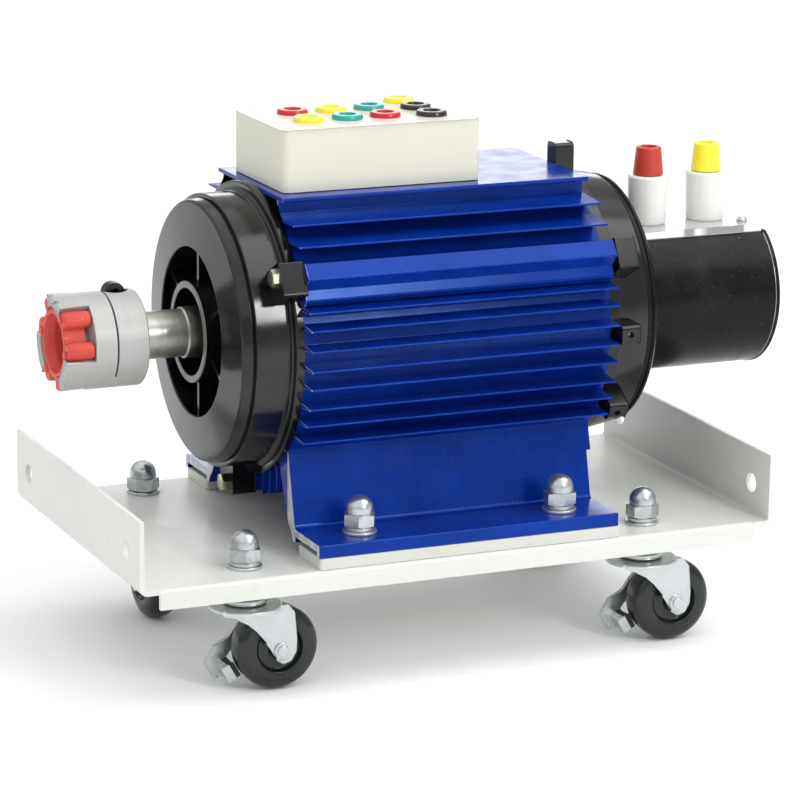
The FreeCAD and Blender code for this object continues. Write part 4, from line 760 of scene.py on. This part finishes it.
for x, y, z, rz in SPOTS[:1] + SPOTS[2:]:
    lathe(bm, rounded([(5.2, 2.0), (8.6, 2.05, 0.3), (8.6, 4.15, 0.3), (5.2, 4.2)], 3), "Z", (x, y, z), 48)
piece("spring_washers", bm, M["zinc"], "trolley", ["lock_washers"])

head = hex_cone(9.4, 4.0, True, False)
bm = bmesh.new()
for k, a in enumerate((30, 150, -90)):
    q = math.radians(a)
    y, z = -92.5 * math.cos(q), 92.5 * math.sin(q)
    stamp(bm, head, 93.5, y, z, mat=Matrix.Rotation(math.radians(-90), 4, "Y") @ Matrix.Rotation(math.radians(11 + 17 * k), 4, "Z"))
head.free()
piece("tie_screws", bm, M["yellow_zinc"], "trolley", ["shield_screws"])

# ------------------------------------------------------------------ casters
LEG = [(-17.5, -21.4), (-18, -23.2, 1), (-10.5, -26.4, 6), (-3, -29.7, 6), (3, -35, 6), (8.5, -42.5, 6), (11.6, -47, 4), (15, -53.4, 4), (18.6, -56.2, 3), (23.5, -54.6, 3),
       (26.6, -49.4, 4), (27, -42, 4), (25.5, -25.6, 2), (21.6, -21.4)]
LEVER = [(14.5, -31.5, 3), (16, -36.5, 3), (11.5, -41.5, 3), (3, -47, 4), (-5.1, -54.7, 3), (-11.6, -61.5, 2), (-11.0, -68.0, 1), (-14.2, -68.8, 1), (-19.4, -58.7, 4), (-14.2, -49.8, 3),
         (-5.1, -45.2, 3), (0, -38, 3), (6, -31.5, 3)]
TRAIL, WZ = 18.0, -48.0
for tag, cx, cy, turn in (("fl", 72.0, -85.5, 0), ("fr", 325.1, -85.5, 0), ("bl", 72.0, 85.5, -90), ("br", 325.1, 85.5, 0)):
    tc, ts = round(math.cos(math.radians(turn))), round(math.sin(math.radians(turn)))

    def C(x, y, z):
        return W(cx + x * tc - y * ts, cy + x * ts + y * tc, tz(0) + z)

    # fork: flanged top plate, two pressed legs, brake pivot
    bm = bmesh.new()
    lathe(bm, rounded([(5.1, -22.6), (20.6, -22.6, 1), (21.5, -23.4, 0.5), (21.5, -21.3, 0.8), (20.3, -20.7, 0.8), (5.1, -20.7)], 4), "Z", (0, 0, 0), 72, world=C)
    for y0, y1 in ((-13.0, -11.0), (11.0, 13.0)):
        sub = bmesh.new()
        extr(sub, [rounded(LEG, 5)], "XZ", y0, y1, world=C)
        soften(sub, 0.45)
        add_sub(bm, sub)
    lathe(bm, rounded([(13.0, 0), (13.0, 2.5), (15.6, 2.5), (15.6, 4.2, 0.2), (16.6, 4.0, 0.4), (16.8, 0)], 3), "Y", (10, 0, -36), 28, world=C)
    piece("caster_fork_" + tag, bm, M["zinc"], "fork_" + tag, ["fork_" + tag])
    # axle bolt
    bm = bmesh.new()
    lathe(bm, rounded([(-15.6, 0), (-15.6, 3.3, 0.7), (-14.4, 3.6), (-14.4, 4.9, 0.3), (-13.0, 4.9), (-13.0, 3.0), (13.0, 3.0), (13.0, 4.9, 0.2), (14.8, 4.9, 0.5), (14.8, 0)], 3), "Y", (TRAIL, 0, WZ), 36, world=C)
    piece("caster_axle_" + tag, bm, M["zinc"], "fork_" + tag, ["axle_" + tag])
    # wheel: crowned tread, dished sides with a ring groove, hub boss
    bm = bmesh.new()
    half = [(10.6, 3.05), (10.6, 5.8, 0.6), (7.2, 6.4, 0.8), (6.5, 9.0, 1), (6.5, 12.6, 1.2), (9.3, 14.2, 0.6), (9.5, 15.2, 0.3), (9.1, 15.8, 0.3), (9.3, 16.6, 0.3), (9.4, 17.4, 1), (8.6, 20.8, 3), (7.2, 23.4, 3), (4.8, 24.75, 4), (0, 25.0, 8)]
    prof = [(-u, r) + tuple(k) for u, r, *k in half] + [(u, r) + tuple(k) for u, r, *k in half[-2::-1]]
    lathe(bm, rounded(prof, 4), "Y", (TRAIL, 0, WZ), 120, world=C)
    piece("caster_wheel_" + tag, bm, M["tyre"], "wheel_" + tag, ["wheel_" + tag])
    # brake lever: pressed plate in zinc, shoe in rubber
    bm = bmesh.new()
    extr(bm, [rounded(LEVER, 5)], "XZ", 13.3, 15.3, world=C)
    soften(bm, 0.4)
    q = math.radians(30)
    ux, uz = -math.cos(q), -math.sin(q)
    for r0, r1, y0, y1, mi in ((28.6, 33.0, 2.0, 14.3, 0), (25.6, 28.6, 2.4, 13.0, 1)):
        lp = [(TRAIL + ux * r - uz * w, WZ + uz * r + ux * w) for r, w in ((r0, -4.5), (r1, -4.5), (r1, 4.5), (r0, 4.5))]
        sub = bmesh.new()
        extr(sub, [lp], "XZ", y0, y1, world=C)
        soften(sub, 0.4)
        add_sub(bm, sub, mi)
    piece("caster_brake_" + tag, bm, [M["zinc"], M["rubber"]], "brake_" + tag, ["brake_lever_" + tag])
bm = bmesh.new()
for x, y in ((72.0, -85.5), (325.1, -85.5), (72.0, 85.5), (325.1, 85.5)):
    lathe(bm, rounded([(0, -24.2), (5.6, -24.2, 0.6), (5.6, -22.9), (5.0, -22.9), (5.0, -20.4), (12.0, -20.4, 0.5), (13.0, -19.6, 0.6), (13.0, -17.0, 1.0), (11.0, -16.2, 0.5), (9.5, -15.6, 0.5),
                       (9.5, -9.0), (11.0, -9.0, 0.4), (11.0, -3.0), (5.0, -3.0), (5.0, 12.5), (0, 12.5)], 4), "Z", (x, y, tz(0)), 64)
piece("stems", bm, M["zinc"], "trolley", ["caster_stems"])

# ------------------------------------------------------------------ floor, light, camera
fl = bmesh.new()
S = 14.0
vs = [fl.verts.new(c) for c in ((-S, -S, -0.0005), (S, -S, -0.0005), (S, S, -0.0005), (-S, S, -0.0005))]
fl.faces.new(vs)
me = bpy.data.meshes.new("studio_floor")
fl.to_mesh(me)
fl.free()
floor = bpy.data.objects.new("studio_floor", me)
bpy.context.scene.collection.objects.link(floor)
fm = bpy.data.materials.new("studio_floor")
fm.use_nodes = True
fb = fm.node_tree.nodes["Principled BSDF"]
fb.inputs["Base Color"].default_value = (0.96, 0.96, 0.96, 1)
fb.inputs["Roughness"].default_value = 0.9
fb.inputs["Specular IOR Level"].default_value = 0.1
me.materials.append(fm)


def area(name, loc, aim, size, power, color=(1, 1, 1), size_y=None):
    li = bpy.data.lights.new(name, "AREA")
    li.shape = "RECTANGLE"
    li.size = size
    li.size_y = size_y or size
    li.energy = power
    li.color = color
    o = bpy.data.objects.new(name, li)
    bpy.context.scene.collection.objects.link(o)
    o.location = loc
    o.rotation_euler = (Vector(aim) - Vector(loc)).to_track_quat("-Z", "Y").to_euler()
    return o


area("softbox_top", (0.2, 0.3, 2.6), (0, 0, 0.1), 2.6, 4)
area("softbox_fill", (1.2, -0.7, 2.2), (0.05, -0.05, 0.1), 1.8, 20)
area("window_front", (0.40, -1.25, 0.77), (-0.12, -0.08, 0.2), 0.17, 4.8, size_y=0.42)
area("softbox_back", (2.1, 4.9, 1.35), (0.05, 0, 0.2), 3.2, 24, size_y=1.0)
sun = bpy.data.lights.new("sky_fill", "SUN")
sun.energy = 1.25
sun.angle = math.radians(120)
so = bpy.data.objects.new("sky_fill", sun)
bpy.context.scene.collection.objects.link(so)
so.rotation_euler = (math.radians(8), math.radians(-12), 0)

w = bpy.data.worlds.new("studio")
bpy.context.scene.world = w
w.use_nodes = True
bg = w.node_tree.nodes["Background"]
bg.inputs["Color"].default_value = (0.95, 0.97, 1.0, 1)
bg.inputs["Strength"].default_value = 0.62

cam = bpy.data.cameras.new("camera")
cam.sensor_width = 36.0
cam.sensor_fit = "HORIZONTAL"
cam.lens = 3782.93153 * 36.0 / 800.0
cam.clip_start = 0.05
cam.clip_end = 60
co = bpy.data.objects.new("camera", cam)
bpy.context.scene.collection.objects.link(co)
az, el, ro = math.radians(-23.6233538), math.radians(14.1449549), math.radians(0.61842283)
back = Vector((math.sin(az) * math.cos(el), -math.cos(az) * math.cos(el), math.sin(el)))
right = Vector((math.cos(az), math.sin(az), 0))
up = back.cross(right)
r2 = right * math.cos(ro) + up * math.sin(ro)
u2 = -right * math.sin(ro) + up * math.cos(ro)
mw = Matrix(((r2.x, u2.x, back.x, 0), (r2.y, u2.y, back.y, 0), (r2.z, u2.z, back.z, 0), (0, 0, 0, 1)))
mw.translation = Vector(((-674.608 - OX) * 0.001, (-1900.288 - 110.0) * 0.001, (618.858 + TRAY) * 0.001))
co.matrix_world = mw
bpy.context.scene.camera = co
bpy.context.scene.view_settings.view_transform = "Standard"
